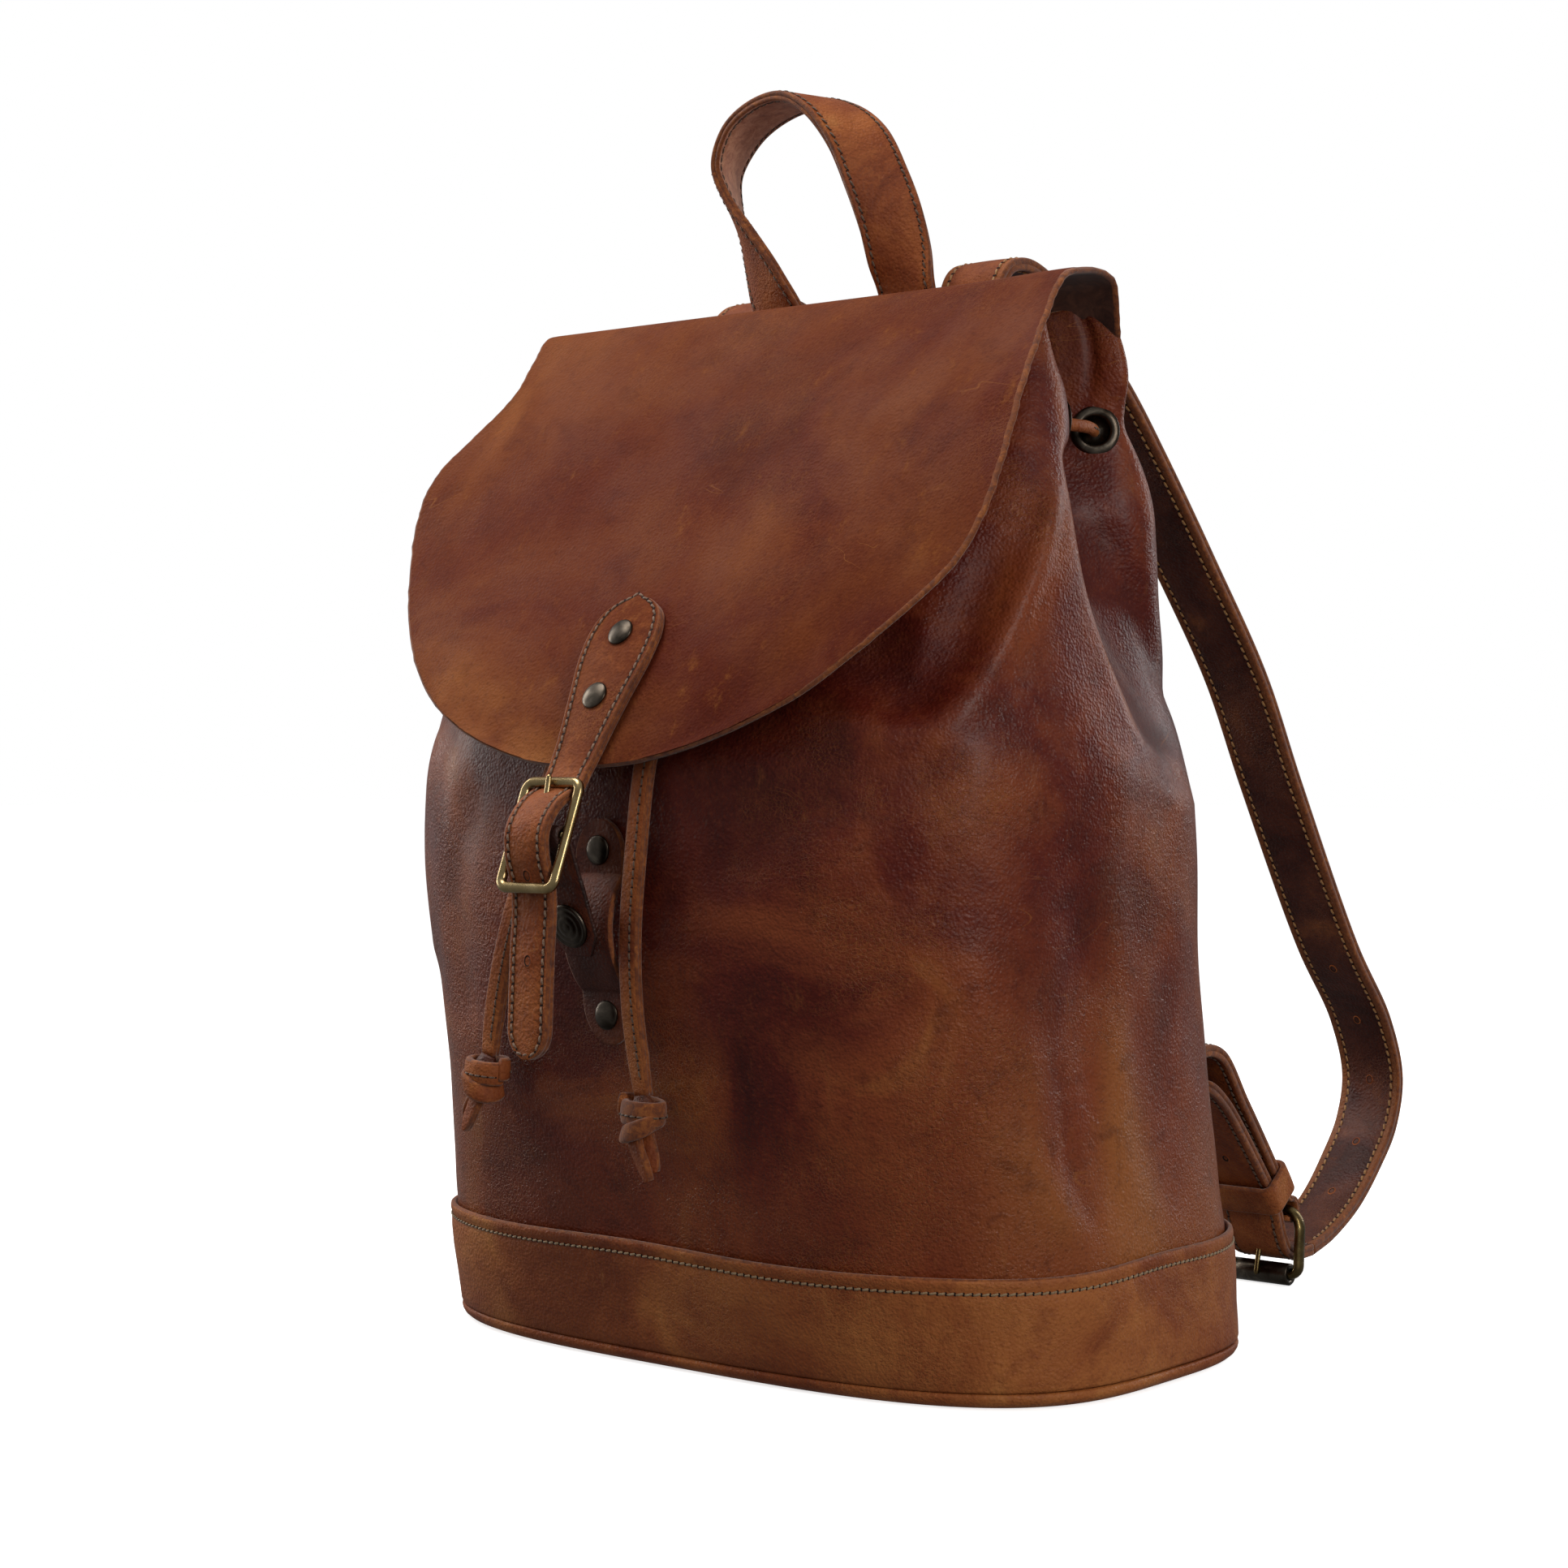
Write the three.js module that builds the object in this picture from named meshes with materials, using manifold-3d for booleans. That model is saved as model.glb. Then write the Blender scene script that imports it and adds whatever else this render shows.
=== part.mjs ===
// Leather drawstring backpack with a front flap. Millimetres, +Z up.
// The bag stands on z = 0, its front faces -Y, and the origin is the middle of its underside.
import * as THREE from "three";
import { mergeVertices } from "three/addons/utils/BufferGeometryUtils.js";
import Module from "manifold-3d";

const wasm = await Module();
wasm.setup();

// ---- Driving dimensions ----------------------------------------------------------------------

const GAP = 0.3; // air between pieces that touch
const WALL = 3; // body leather
const BAND_HEIGHT = 46;
const BAND_THICKNESS = 2;
const BAND_GAP = 0.9; // the glue line between the band and the body
const BASE_THICKNESS = 5.7;
const NECK_TOP = 378;
const SEAM = 52; // degrees from +X to the side seam on the back
const FLAP_THICKNESS = 2.4;
const RIDGE_HALF_WIDTH = 128;
const FLAP_HALF_WIDTH = 138;
const FLAP_WIDEST = 106; // distance along the leather from the ridge to the widest place
const HINGE_SLIT = 0.7; // half the slit between two lengths of one strap or flap at a hinge

const CLOSURE = { width: 19, headWidth: 32, thickness: 3.8, headStart: 146, split: 5 };
const FRONT_BUCKLE = { width: 25.5, rod: 1.5, top: [-156.5, 213], bottom: [-170.5, 177] };
const LOOP = { width: 23, thickness: 2.5, low: 120, high: 200, bridge: 8, rivets: [130.6, 189] };
const STRAP_HOLES = { heights: [187, 163], radius: 1.1 };
const SNAP = { width: 22, thickness: 1.8, length: 47, capAt: 35, capRadius: 8.2, hang: [0.373, -0.928] };

const HANDLE = { width: 25, thickness: 4, x: 30.2 };
const STRAP = { width: 27, thickness: 5, x: 57.2, lowX: 80 };
const SHOULDER_BUCKLE = { width: 34, rod: 1.9, hingeBar: [189, 32], rollerBar: [187, 4.8] };
const ROLLER = { inner: 2.6, outer: 4, length: 27 };
const YOKE = { reach: 0.66, top: 54, thickness: 2.4 };
const KEEPER = {
  width: 12,
  thickness: 2,
  centre: [176.2, 42.6],
  slope: [0.6, -0.8],
  height: 17,
  across: 30.4,
};

const PRONG_RADIUS = 1.2;
const PRONG_EYE = 1.6; // wall of the eye round the bar
const PRONG_PLAY = 5; // degrees

const CORD = { width: 8.5, thickness: 3.6, radius: 2 };
const EYELET = { bore: 5.5, barrel: 6.4, flange: 9.1, lip: 0.9, height: 341, air: 0.5 };
const ROUND = 10; // sides of a turned piece

// ---- Small helpers ---------------------------------------------------------------------------

const point = (x, y, z) => new THREE.Vector3(x, y, z);
const range = (count) => Array.from({ length: count }, (_, i) => i);
const degrees = (value) => THREE.MathUtils.degToRad(value);

// A smooth value through [position, value] pairs.
function track(pairs) {
  const slope = (i) => {
    const before = pairs[Math.max(i - 1, 0)];
    const after = pairs[Math.min(i + 1, pairs.length - 1)];
    return (after[1] - before[1]) / (after[0] - before[0]);
  };
  return (at) => {
    let i = 0;
    while (i < pairs.length - 2 && at > pairs[i + 1][0]) {
      i += 1;
    }
    const [start, from] = pairs[i];
    const [end, to] = pairs[i + 1];
    const span = end - start;
    const t = THREE.MathUtils.clamp((at - start) / span, 0, 1);
    const rise = to - from;
    const first = slope(i) * span - rise;
    const second = -slope(i + 1) * span + rise;
    return from + t * rise + t * (1 - t) * (first * (1 - t) + second * t);
  };
}

// One closed solid with merged corners, no empty triangles and its faces pointing out.
function clean(geometry) {
  geometry.deleteAttribute("normal");
  geometry.deleteAttribute("uv");
  const merged = mergeVertices(geometry, 1e-4);
  const place = merged.getAttribute("position");
  const corners = Array.from(merged.getIndex().array);
  const kept = [];
  let volume = 0;
  for (let i = 0; i < corners.length; i += 3) {
    const [a, b, c] = corners.slice(i, i + 3);
    if (a !== b && b !== c && c !== a) {
      const [pa, pb, pc] = [a, b, c].map((k) => new THREE.Vector3().fromBufferAttribute(place, k));
      volume += pa.dot(pb.cross(pc));
      kept.push(a, b, c);
    }
  }
  merged.setIndex(volume < 0 ? kept.reverse() : kept);
  return merged;
}

// A solid through a row of rings with equally many corners. An open row is closed across its ends.
function loft(rings, closed = false) {
  const count = rings[0].length;
  const index = [];
  const quad = (a, b, c, d) => index.push(a, b, c, a, c, d);
  const spans = closed ? rings.length : rings.length - 1;
  for (let i = 0; i < spans; i += 1) {
    const here = i * count;
    const next = ((i + 1) % rings.length) * count;
    for (let j = 0; j < count; j += 1) {
      const k = (j + 1) % count;
      quad(here + j, here + k, next + k, next + j);
    }
  }
  if (!closed) {
    const last = (rings.length - 1) * count;
    for (let j = 0; j < count / 2 - 1; j += 1) {
      const across = [j, j + 1, count - 2 - j, count - 1 - j];
      quad(...across.toReversed());
      quad(...across.map((k) => last + k));
    }
  }
  const geometry = new THREE.BufferGeometry();
  geometry.setAttribute(
    "position",
    new THREE.Float32BufferAttribute(rings.flat().flatMap((p) => p.toArray()), 3),
  );
  geometry.setIndex(index);
  return clean(geometry);
}

// A point at a distance off a surface, along its normal.
function offset(surface, u, v, distance) {
  const step = 0.01;
  const along = surface(u + step, v).sub(surface(u - step, v));
  const up = surface(u, v + step).sub(surface(u, v - step));
  return surface(u, v).addScaledVector(along.cross(up).normalize(), distance);
}

// A sheet of leather between two distances off a surface.
function shell(surface, us, vs, outer, inner, closed = false) {
  const rings = us.map((u) => [
    ...vs.map((v) => offset(surface, u, v, outer)),
    ...vs.toReversed().map((v) => offset(surface, u, v, inner)),
  ]);
  return loft(rings, closed);
}

const flatSection = (width, thickness) => [
  [-width / 2, -thickness / 2],
  [width / 2, -thickness / 2],
  [width / 2, thickness / 2],
  [-width / 2, thickness / 2],
];

const roundSection = (width, thickness, sides) =>
  range(sides).map((i) => {
    const angle = ((i + 0.5) / sides) * 2 * Math.PI;
    return [(Math.cos(angle) * width) / 2, (Math.sin(angle) * thickness) / 2];
  });

// A section swept along a curve, or a smooth line through points. From 0 at the start to 1 at the end,
// sideAt gives the direction of its width, scaleAt its scale, tangentAt the way that it faces, and
// stopAt moves its steps along the line.
function sweep(line, section, steps, options = {}) {
  const { closed = false, scaleAt = () => [1, 1], stopAt = (t) => t } = options;
  const { sideAt = () => point(1, 0, 0) } = options;
  const curve = Array.isArray(line) ? new THREE.CatmullRomCurve3(line, closed, "centripetal") : line;
  const tangentAt = options.tangentAt ?? ((u) => curve.getTangentAt(u));
  const rings = range(closed ? steps : steps + 1).map((i) => {
    const u = stopAt(i / steps);
    const along = tangentAt(u, curve.getTangentAt(u));
    const side = sideAt(u).projectOnPlane(along).normalize();
    const out = new THREE.Vector3().crossVectors(along, side).normalize();
    const [wide, thick] = scaleAt(u);
    const centre = curve.getPointAt(u);
    return section.map(([across, off]) =>
      centre.clone().addScaledVector(side, across * wide).addScaledVector(out, off * thick),
    );
  });
  return loft(rings, closed);
}

const inPlane = (x, pairs) => pairs.map(([y, z]) => point(x, y, z));

// A turned piece whose axis starts at a point and runs along a direction.
function turned(profile, at, direction, segments = ROUND) {
  const outline = profile.map(([radius, height]) => new THREE.Vector2(radius, height));
  const geometry = new THREE.LatheGeometry(outline, segments);
  const turn = new THREE.Quaternion().setFromUnitVectors(point(0, 1, 0), direction.clone().normalize());
  geometry.applyQuaternion(turn);
  geometry.translate(at.x, at.y, at.z);
  return clean(geometry);
}

function toSolid(geometry) {
  const mesh = new wasm.Mesh({
    numProp: 3,
    vertProperties: new Float32Array(geometry.getAttribute("position").array),
    triVerts: new Uint32Array(geometry.getIndex().array),
  });
  return new wasm.Manifold(mesh);
}

function toGeometry(solid) {
  const mesh = solid.getMesh();
  const geometry = new THREE.BufferGeometry();
  geometry.setAttribute("position", new THREE.BufferAttribute(new Float32Array(mesh.vertProperties), 3));
  geometry.setIndex(Array.from(mesh.triVerts));
  return geometry;
}

const cut = (geometry, cutters) =>
  toGeometry(cutters.reduce((solid, cutter) => solid.subtract(toSolid(cutter)), toSolid(geometry)));
const join = (first, second) => toGeometry(toSolid(first).add(toSolid(second)));

const model = new THREE.Group();

function add(name, geometry, material) {
  const mesh = new THREE.Mesh(geometry, material.clone());
  mesh.name = name;
  model.add(mesh);
}

const finish = (color, roughness, metalness = 0) =>
  new THREE.MeshStandardMaterial({ color, roughness, metalness });
const bodyLeather = finish(0x5e2c18, 0.42);
const flapLeather = finish(0x6a3520, 0.55);
const strapLeather = finish(0x7d4526, 0.6);
const darkLeather = finish(0x3a1f17, 0.5);
const boardFibre = finish(0x8a7458, 0.9);
const darkBrass = finish(0x4a4030, 0.4, 1);
const wornBrass = finish(0xa08646, 0.3, 1);

// ---- Body ------------------------------------------------------------------------------------

const halfWidth = track([[0, 153], [46, 152], [90, 147.5], [130, 146], [212, 149], [261, 142], [306, 137],
  [340, 128], [378, 118]]);
const frontY = track([[0, -96], [46, -107], [130, -127], [212, -130], [257, -112], [302, -84], [344, -58],
  [378, -37]]);
const backY = track([[0, 93], [46, 93], [130, 91], [212, 82], [295, 60], [340, 36], [366, 13], [378, 6]]);
const widestY = track([[0, -2], [46, -7], [130, -18], [212, -24], [300, -20], [340, -12], [378, -12]]);
const squareness = track([[0, 3.3], [212, 2.9], [300, 3.4], [340, 5], [378, 5.5]]);

// The side folds inward at the neck. The fold fades out half-way down the bag.
const foldDepth = track([[205, 0], [234, 9], [266, 19], [306, 28], [340, 33], [378, 34]]);
const foldY = track([[205, 28], [234, 12], [266, 0], [306, -8], [340, -5], [378, -5]]);
const foldFront = track([[205, 20], [234, 26], [266, 28], [306, 25], [340, 13], [378, 12]]);
const foldRear = track([[205, 32], [266, 30], [306, 24], [340, 20], [378, 10]]);

// The outside of the body at an angle round it from +X, in degrees, and a height.
function body(angle, z) {
  const turn = degrees(angle);
  const middle = widestY(z);
  const depth = Math.sin(turn) < 0 ? middle - frontY(z) : backY(z) - middle;
  const power = squareness(z);
  const reachOut = (Math.abs(Math.cos(turn)) ** power + Math.abs(Math.sin(turn)) ** power) ** (-1 / power);
  const y = middle + depth * reachOut * Math.sin(turn);
  const away = y - foldY(z);
  const reach = away < 0 ? foldFront(z) : foldRear(z);
  const fold = foldDepth(z) * Math.exp(-((away / reach) ** 2));
  const x = (halfWidth(z) - fold) * reachOut * Math.cos(turn);
  return point(x, y, z);
}

// Angles between two limits, closer together at the sides of the bag, where the folds are.
const CROWDING = 6;
const crowded = (t) => t - CROWDING * Math.sin(degrees(2 * t));
const angles = (from, to, steps) => range(steps + 1).map((i) => crowded(from + ((to - from) * i) / steps));

const heights = [6, 25, BAND_HEIGHT, 90, 150, 205, 232, 256, 278, 298, 315, 328, 341, 358, NECK_TOP];
const SEAM_SLIT = 1.4;

// An eyelet sits on the neck at an angle round it, square to the leather.
function eyeletSeat(angle) {
  const surface = body(angle, EYELET.height);
  const normal = offset(body, angle, EYELET.height, 1).sub(surface);
  return { middle: surface.clone().addScaledVector(normal, -WALL / 2), normal };
}

function eyelet(angle) {
  const { middle, normal } = eyeletSeat(angle);
  const face = WALL / 2 + EYELET.air;
  const profile = [
    [EYELET.bore, -face - EYELET.lip],
    [EYELET.flange, -face - EYELET.lip],
    [EYELET.flange, -face],
    [EYELET.barrel, -face],
    [EYELET.barrel, face],
    [EYELET.flange, face],
    [EYELET.flange, face + EYELET.lip],
    [EYELET.bore, face + EYELET.lip],
    [EYELET.bore, -face - EYELET.lip],
  ];
  return turned(profile, middle, normal);
}

// The hole that an eyelet needs in the leather, with room for its lips.
function eyeletHole(angle) {
  const { middle, normal } = eyeletSeat(angle);
  const face = WALL / 2 + EYELET.air;
  const reach = face + EYELET.lip + 4;
  const profile = [
    [0, -reach],
    [EYELET.flange + GAP, -reach],
    [EYELET.flange + GAP, -face + GAP],
    [EYELET.barrel + GAP, -face + GAP],
    [EYELET.barrel + GAP, face - GAP],
    [EYELET.flange + GAP, face - GAP],
    [EYELET.flange + GAP, reach],
    [0, reach],
  ];
  return turned(profile, middle, normal);
}

// A rivet: a domed cap outside, a shank through the leathers and a washer inside.
function rivet(at, direction, capRadius, grip, grow = 0) {
  const shank = 1.8 + grow;
  const profile = [
    [0, -grip - 1.4 - grow],
    [capRadius - 0.6 + grow, -grip - 1.4 - grow],
    [capRadius - 0.6 + grow, -grip + grow],
    [shank, -grip + grow],
    [shank, -grow],
    [capRadius + grow, -grow],
    [capRadius + grow, 0.7 + grow],
    [capRadius * 0.6, 1.7 + grow],
    [0, 1.9 + grow],
  ];
  return turned(profile, at, direction);
}

const FRONT_EYELET = -81.5;
const FOLD_FRONT_EYELET = -6.5;
const FOLD_REAR_EYELET = 27;
const eyelets = {
  eyelet_front_right: FRONT_EYELET,
  eyelet_fold_front_right: FOLD_FRONT_EYELET,
  eyelet_fold_rear_right: FOLD_REAR_EYELET,
  eyelet_front_left: -180 - FRONT_EYELET,
  eyelet_fold_front_left: 180 - FOLD_FRONT_EYELET,
  eyelet_fold_rear_left: 180 - FOLD_REAR_EYELET,
};

// The strip on the front that the snap tab is led through: flat at its rivets, bridging between.
function loopCentre(z) {
  const [low, high] = LOOP.rivets;
  const t = THREE.MathUtils.clamp((z - low - 9) / (high - low - 18), 0, 1);
  const lift = LOOP.bridge * Math.sin(Math.PI * t) ** 0.7;
  return point(0, frontY(z) - GAP - LOOP.thickness / 2 - lift, z);
}

const loopCap = (z) => loopCentre(z).add(point(0, -LOOP.thickness / 2 - GAP, 0));
const loopGrip = WALL + LOOP.thickness + 3 * GAP;
const front = point(0, -1, 0);

function buildBody() {
  const loopRivets = LOOP.rivets.map((z) => rivet(loopCap(z), front, 5.3, loopGrip, GAP));
  const holes = Object.values(eyelets).map(eyeletHole);
  const frontSheet = shell(body, angles(-180 - SEAM, SEAM, 40), heights, 0, -WALL);
  add("front_body_panel", cut(frontSheet, [...holes, ...loopRivets]), bodyLeather);
  const backSheet = shell(body, angles(SEAM + SEAM_SLIT, 180 - SEAM - SEAM_SLIT, 8), heights, 0, -WALL);
  add("back_panel", backSheet, bodyLeather);

  const around = angles(0, 360, 56).slice(0, -1);
  const bandOut = BAND_THICKNESS + BAND_GAP;
  add("base_band", shell(body, around, [6.7, 25, BAND_HEIGHT], bandOut, BAND_GAP, true), bodyLeather);
  const outline = (inset, z) => around.map((angle) => offset(body, angle, 6, bandOut - inset).setZ(z));
  const edge = [[9, 0], [3, 1.1], [0.4, 3.4], [0, BASE_THICKNESS]];
  add("base_panel", loft(edge.map(([inset, z]) => outline(inset, z))), bodyLeather);
  const boardInset = bandOut + WALL + 1.5;
  add("base_stiffener", loft([6.2, 8.8].map((z) => outline(boardInset, z))), boardFibre);

  Object.entries(eyelets).forEach(([name, angle]) => add(name, eyelet(angle), darkBrass));

  const strip = range(17).map((i) => loopCentre(THREE.MathUtils.lerp(LOOP.high, LOOP.low, i / 16)));
  const endRound = (u) => [Math.min(1, 0.45 + 5 * Math.min(u, 1 - u)), 1];
  const stripSheet = sweep(strip, flatSection(LOOP.width, LOOP.thickness), 24, { scaleAt: endRound });
  add("closure_loop", cut(stripSheet, loopRivets), bodyLeather);
  const [low, high] = LOOP.rivets;
  add("loop_rivet_lower", rivet(loopCap(low), front, 5.3, loopGrip), darkBrass);
  add("loop_rivet_upper", rivet(loopCap(high), front, 5.3, loopGrip), darkBrass);
}

// ---- Flap ------------------------------------------------------------------------------------

const flapFront = new THREE.CatmullRomCurve3(
  inPlane(0, [[-25, 393.2], [-32, 391], [-45, 376], [-68, 344], [-94, 302], [-123, 257], [-144.5, 219]]),
  false,
  "centripetal",
);
const flapBack = new THREE.CatmullRomCurve3(
  inPlane(0, [[-25, 393.2], [-11, 392], [2, 387], [11.5, 378], [19, 367], [30, 354.5], [41, 342],
    [47, 334]]),
  false,
  "centripetal",
);
const FLAP_LENGTH = flapFront.getLength();
const FLAP_BACK_LENGTH = flapBack.getLength();

// Half the flap's width at a distance along the leather from the ridge: a taper, then an ellipse.
function flapHalfWidth(along) {
  if (along < FLAP_WIDEST) {
    const t = THREE.MathUtils.smoothstep(along, 0, FLAP_WIDEST);
    return THREE.MathUtils.lerp(RIDGE_HALF_WIDTH, FLAP_HALF_WIDTH, t);
  }
  const t = (along - FLAP_WIDEST) / (FLAP_LENGTH - FLAP_WIDEST);
  return FLAP_HALF_WIDTH * Math.sqrt(Math.max(1 - t * t, 0.0025));
}

// The outside of the flap: across from -1 to 1, and a distance along the leather from the ridge.
function flapSurface(across, along) {
  const at = flapFront.getPointAt(THREE.MathUtils.clamp(along / FLAP_LENGTH, 0, 1));
  return at.setX(-across * flapHalfWidth(along));
}

// The part of the flap behind the ridge, sewn to the back. Its ends bow forward a little.
const BACK_BOW = 6;
function flapBackSurface(across, along) {
  const at = flapBack.getPointAt(THREE.MathUtils.clamp(along / FLAP_BACK_LENGTH, 0, 1));
  const t = along / FLAP_BACK_LENGTH;
  const taper = RIDGE_HALF_WIDTH - 34 * t ** 3;
  const swell = Math.sin(Math.PI * THREE.MathUtils.clamp(t / 0.8, 0, 1)) ** 2;
  return point(across * taper, at.y - BACK_BOW * Math.abs(across) ** 3 * swell, at.z);
}

// A line on the flap, off its outer face, from one distance along the leather to another.
const onFlap = (from, to, off, count) =>
  range(count + 1).map((i) => {
    const along = from + ((to - from) * i) / count;
    const at = flapFront.getPointAt(along / FLAP_LENGTH);
    const tangent = flapFront.getTangentAt(along / FLAP_LENGTH);
    return at.add(point(0, tangent.z, -tangent.y).multiplyScalar(off));
  });

const flapRivets = { flap_rivet_upper: 162, flap_rivet_lower: 188 };
const headOff = GAP + CLOSURE.thickness / 2;
const headGrip = CLOSURE.thickness + FLAP_THICKNESS + 3 * GAP;

function flapRivet(along, grow = 0) {
  const [cap] = onFlap(along, along, CLOSURE.thickness + 2 * GAP, 1);
  const [behind] = onFlap(along, along, 0, 1);
  return rivet(cap, cap.clone().sub(behind), 5, headGrip, grow);
}

function buildFlap() {
  const holes = Object.values(flapRivets).map((along) => flapRivet(along, GAP));
  const across = range(13).map((i) => -1 + i / 6);
  const lowEnd = [55, 42, 30, 20, 12, 6, 2.5, 0.3].map((before) => FLAP_LENGTH - before);
  const down = [HINGE_SLIT, 7, 14, 24, 40, 65, 95, 120, 140, ...lowEnd];
  const sheet = shell(flapSurface, across, down, 0, -FLAP_THICKNESS);
  add("flap", cut(sheet, holes), flapLeather);

  const [topEnd, bottomEnd] = [CLOSURE.headStart, FLAP_LENGTH - CLOSURE.split];
  const headWidth = track([[0, 0.42], [0.04, 0.72], [0.12, 0.93], [0.24, 1], [0.5, 0.86], [0.8, 0.68],
    [1, CLOSURE.width / CLOSURE.headWidth]]);
  const tab = sweep(
    onFlap(topEnd, bottomEnd, headOff, 12),
    flatSection(CLOSURE.headWidth, CLOSURE.thickness),
    20,
    { scaleAt: (u) => [headWidth(u), 1] },
  );
  add("closure_strap_head", cut(tab, holes), strapLeather);
  Object.entries(flapRivets).forEach(([name, along]) => add(name, flapRivet(along), darkBrass));

  const rearAcross = range(13).map((i) => -1 + i / 6);
  const rearDown = range(9).map((i) => THREE.MathUtils.lerp(HINGE_SLIT, FLAP_BACK_LENGTH, i / 8));
  add("flap_rear", shell(flapBackSurface, rearAcross, rearDown, 0, -FLAP_THICKNESS), flapLeather);
}

// ---- Closure strap, front buckle and snap tab -------------------------------------------------

const frameDown = point(0, FRONT_BUCKLE.bottom[0] - FRONT_BUCKLE.top[0],
  FRONT_BUCKLE.bottom[1] - FRONT_BUCKLE.top[1]).normalize();
const frameOut = point(0, frameDown.z, -frameDown.y);
const frameTop = point(0, ...FRONT_BUCKLE.top);
const frameBottom = point(0, ...FRONT_BUCKLE.bottom);
const centreBar = frameTop.clone().lerp(frameBottom, 0.5);
const sideways = point(1, 0, 0);

// A rounded rectangle between two lines along x, a given width apart at its ends.
class Frame extends THREE.Curve {
  constructor(top, bottom, width, topCorner, bottomCorner) {
    super();
    this.top = top;
    this.down = bottom.clone().sub(top).normalize();
    const length = bottom.distanceTo(top);
    const quarter = Math.PI / 2;
    const [high, low] = [width / 2 - topCorner, width / 2 - bottomCorner];
    this.outline = new THREE.Path();
    this.outline.absarc(high, topCorner, topCorner, -quarter, 0);
    this.outline.absarc(low, length - bottomCorner, bottomCorner, 0, quarter);
    this.outline.absarc(-low, length - bottomCorner, bottomCorner, quarter, 2 * quarter);
    this.outline.absarc(-high, topCorner, topCorner, 2 * quarter, 3 * quarter);
    this.outline.closePath();
  }

  getPoint(t) {
    const { x, y } = this.outline.getPoint(t);
    return this.top.clone().addScaledVector(this.down, y).addScaledVector(sideways, x);
  }
}

// A prong: an eye round its bar and a straight shank to a tip.
function prong(bar, tip, barRadius, grow = 0) {
  const wire = PRONG_RADIUS + grow;
  const inner = barRadius + 1.2 * GAP - grow;
  const outer = barRadius + 1.2 * GAP + PRONG_EYE + grow;
  const eye = [
    [inner, -wire],
    [outer, -wire],
    [outer, wire],
    [inner, wire],
    [inner, -wire],
  ];
  const ring = turned(eye, bar, sideways);
  const direction = tip.clone().sub(bar).normalize();
  const start = bar.clone().addScaledVector(direction, (inner + outer) / 2);
  const end = tip.clone().addScaledVector(direction, grow);
  const shank = sweep([start, start.clone().lerp(end, 0.5), end], roundSection(2 * wire, 2 * wire, 8), 2);
  return join(ring, shank);
}

// The space that a prong sweeps through as it plays about its bar.
const prongSweep = (bar, tip, barRadius, play) =>
  [0, 0.5, 1].map((t) => {
    const turnedTip = tip.clone().sub(bar).applyAxisAngle(sideways, degrees(play * t)).add(bar);
    return prong(bar, turnedTip, barRadius, GAP);
  });

const frontProngTip = frameTop.clone().addScaledVector(frameOut, FRONT_BUCKLE.rod + PRONG_RADIUS + GAP)
  .addScaledVector(frameDown, -1.5);

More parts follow.
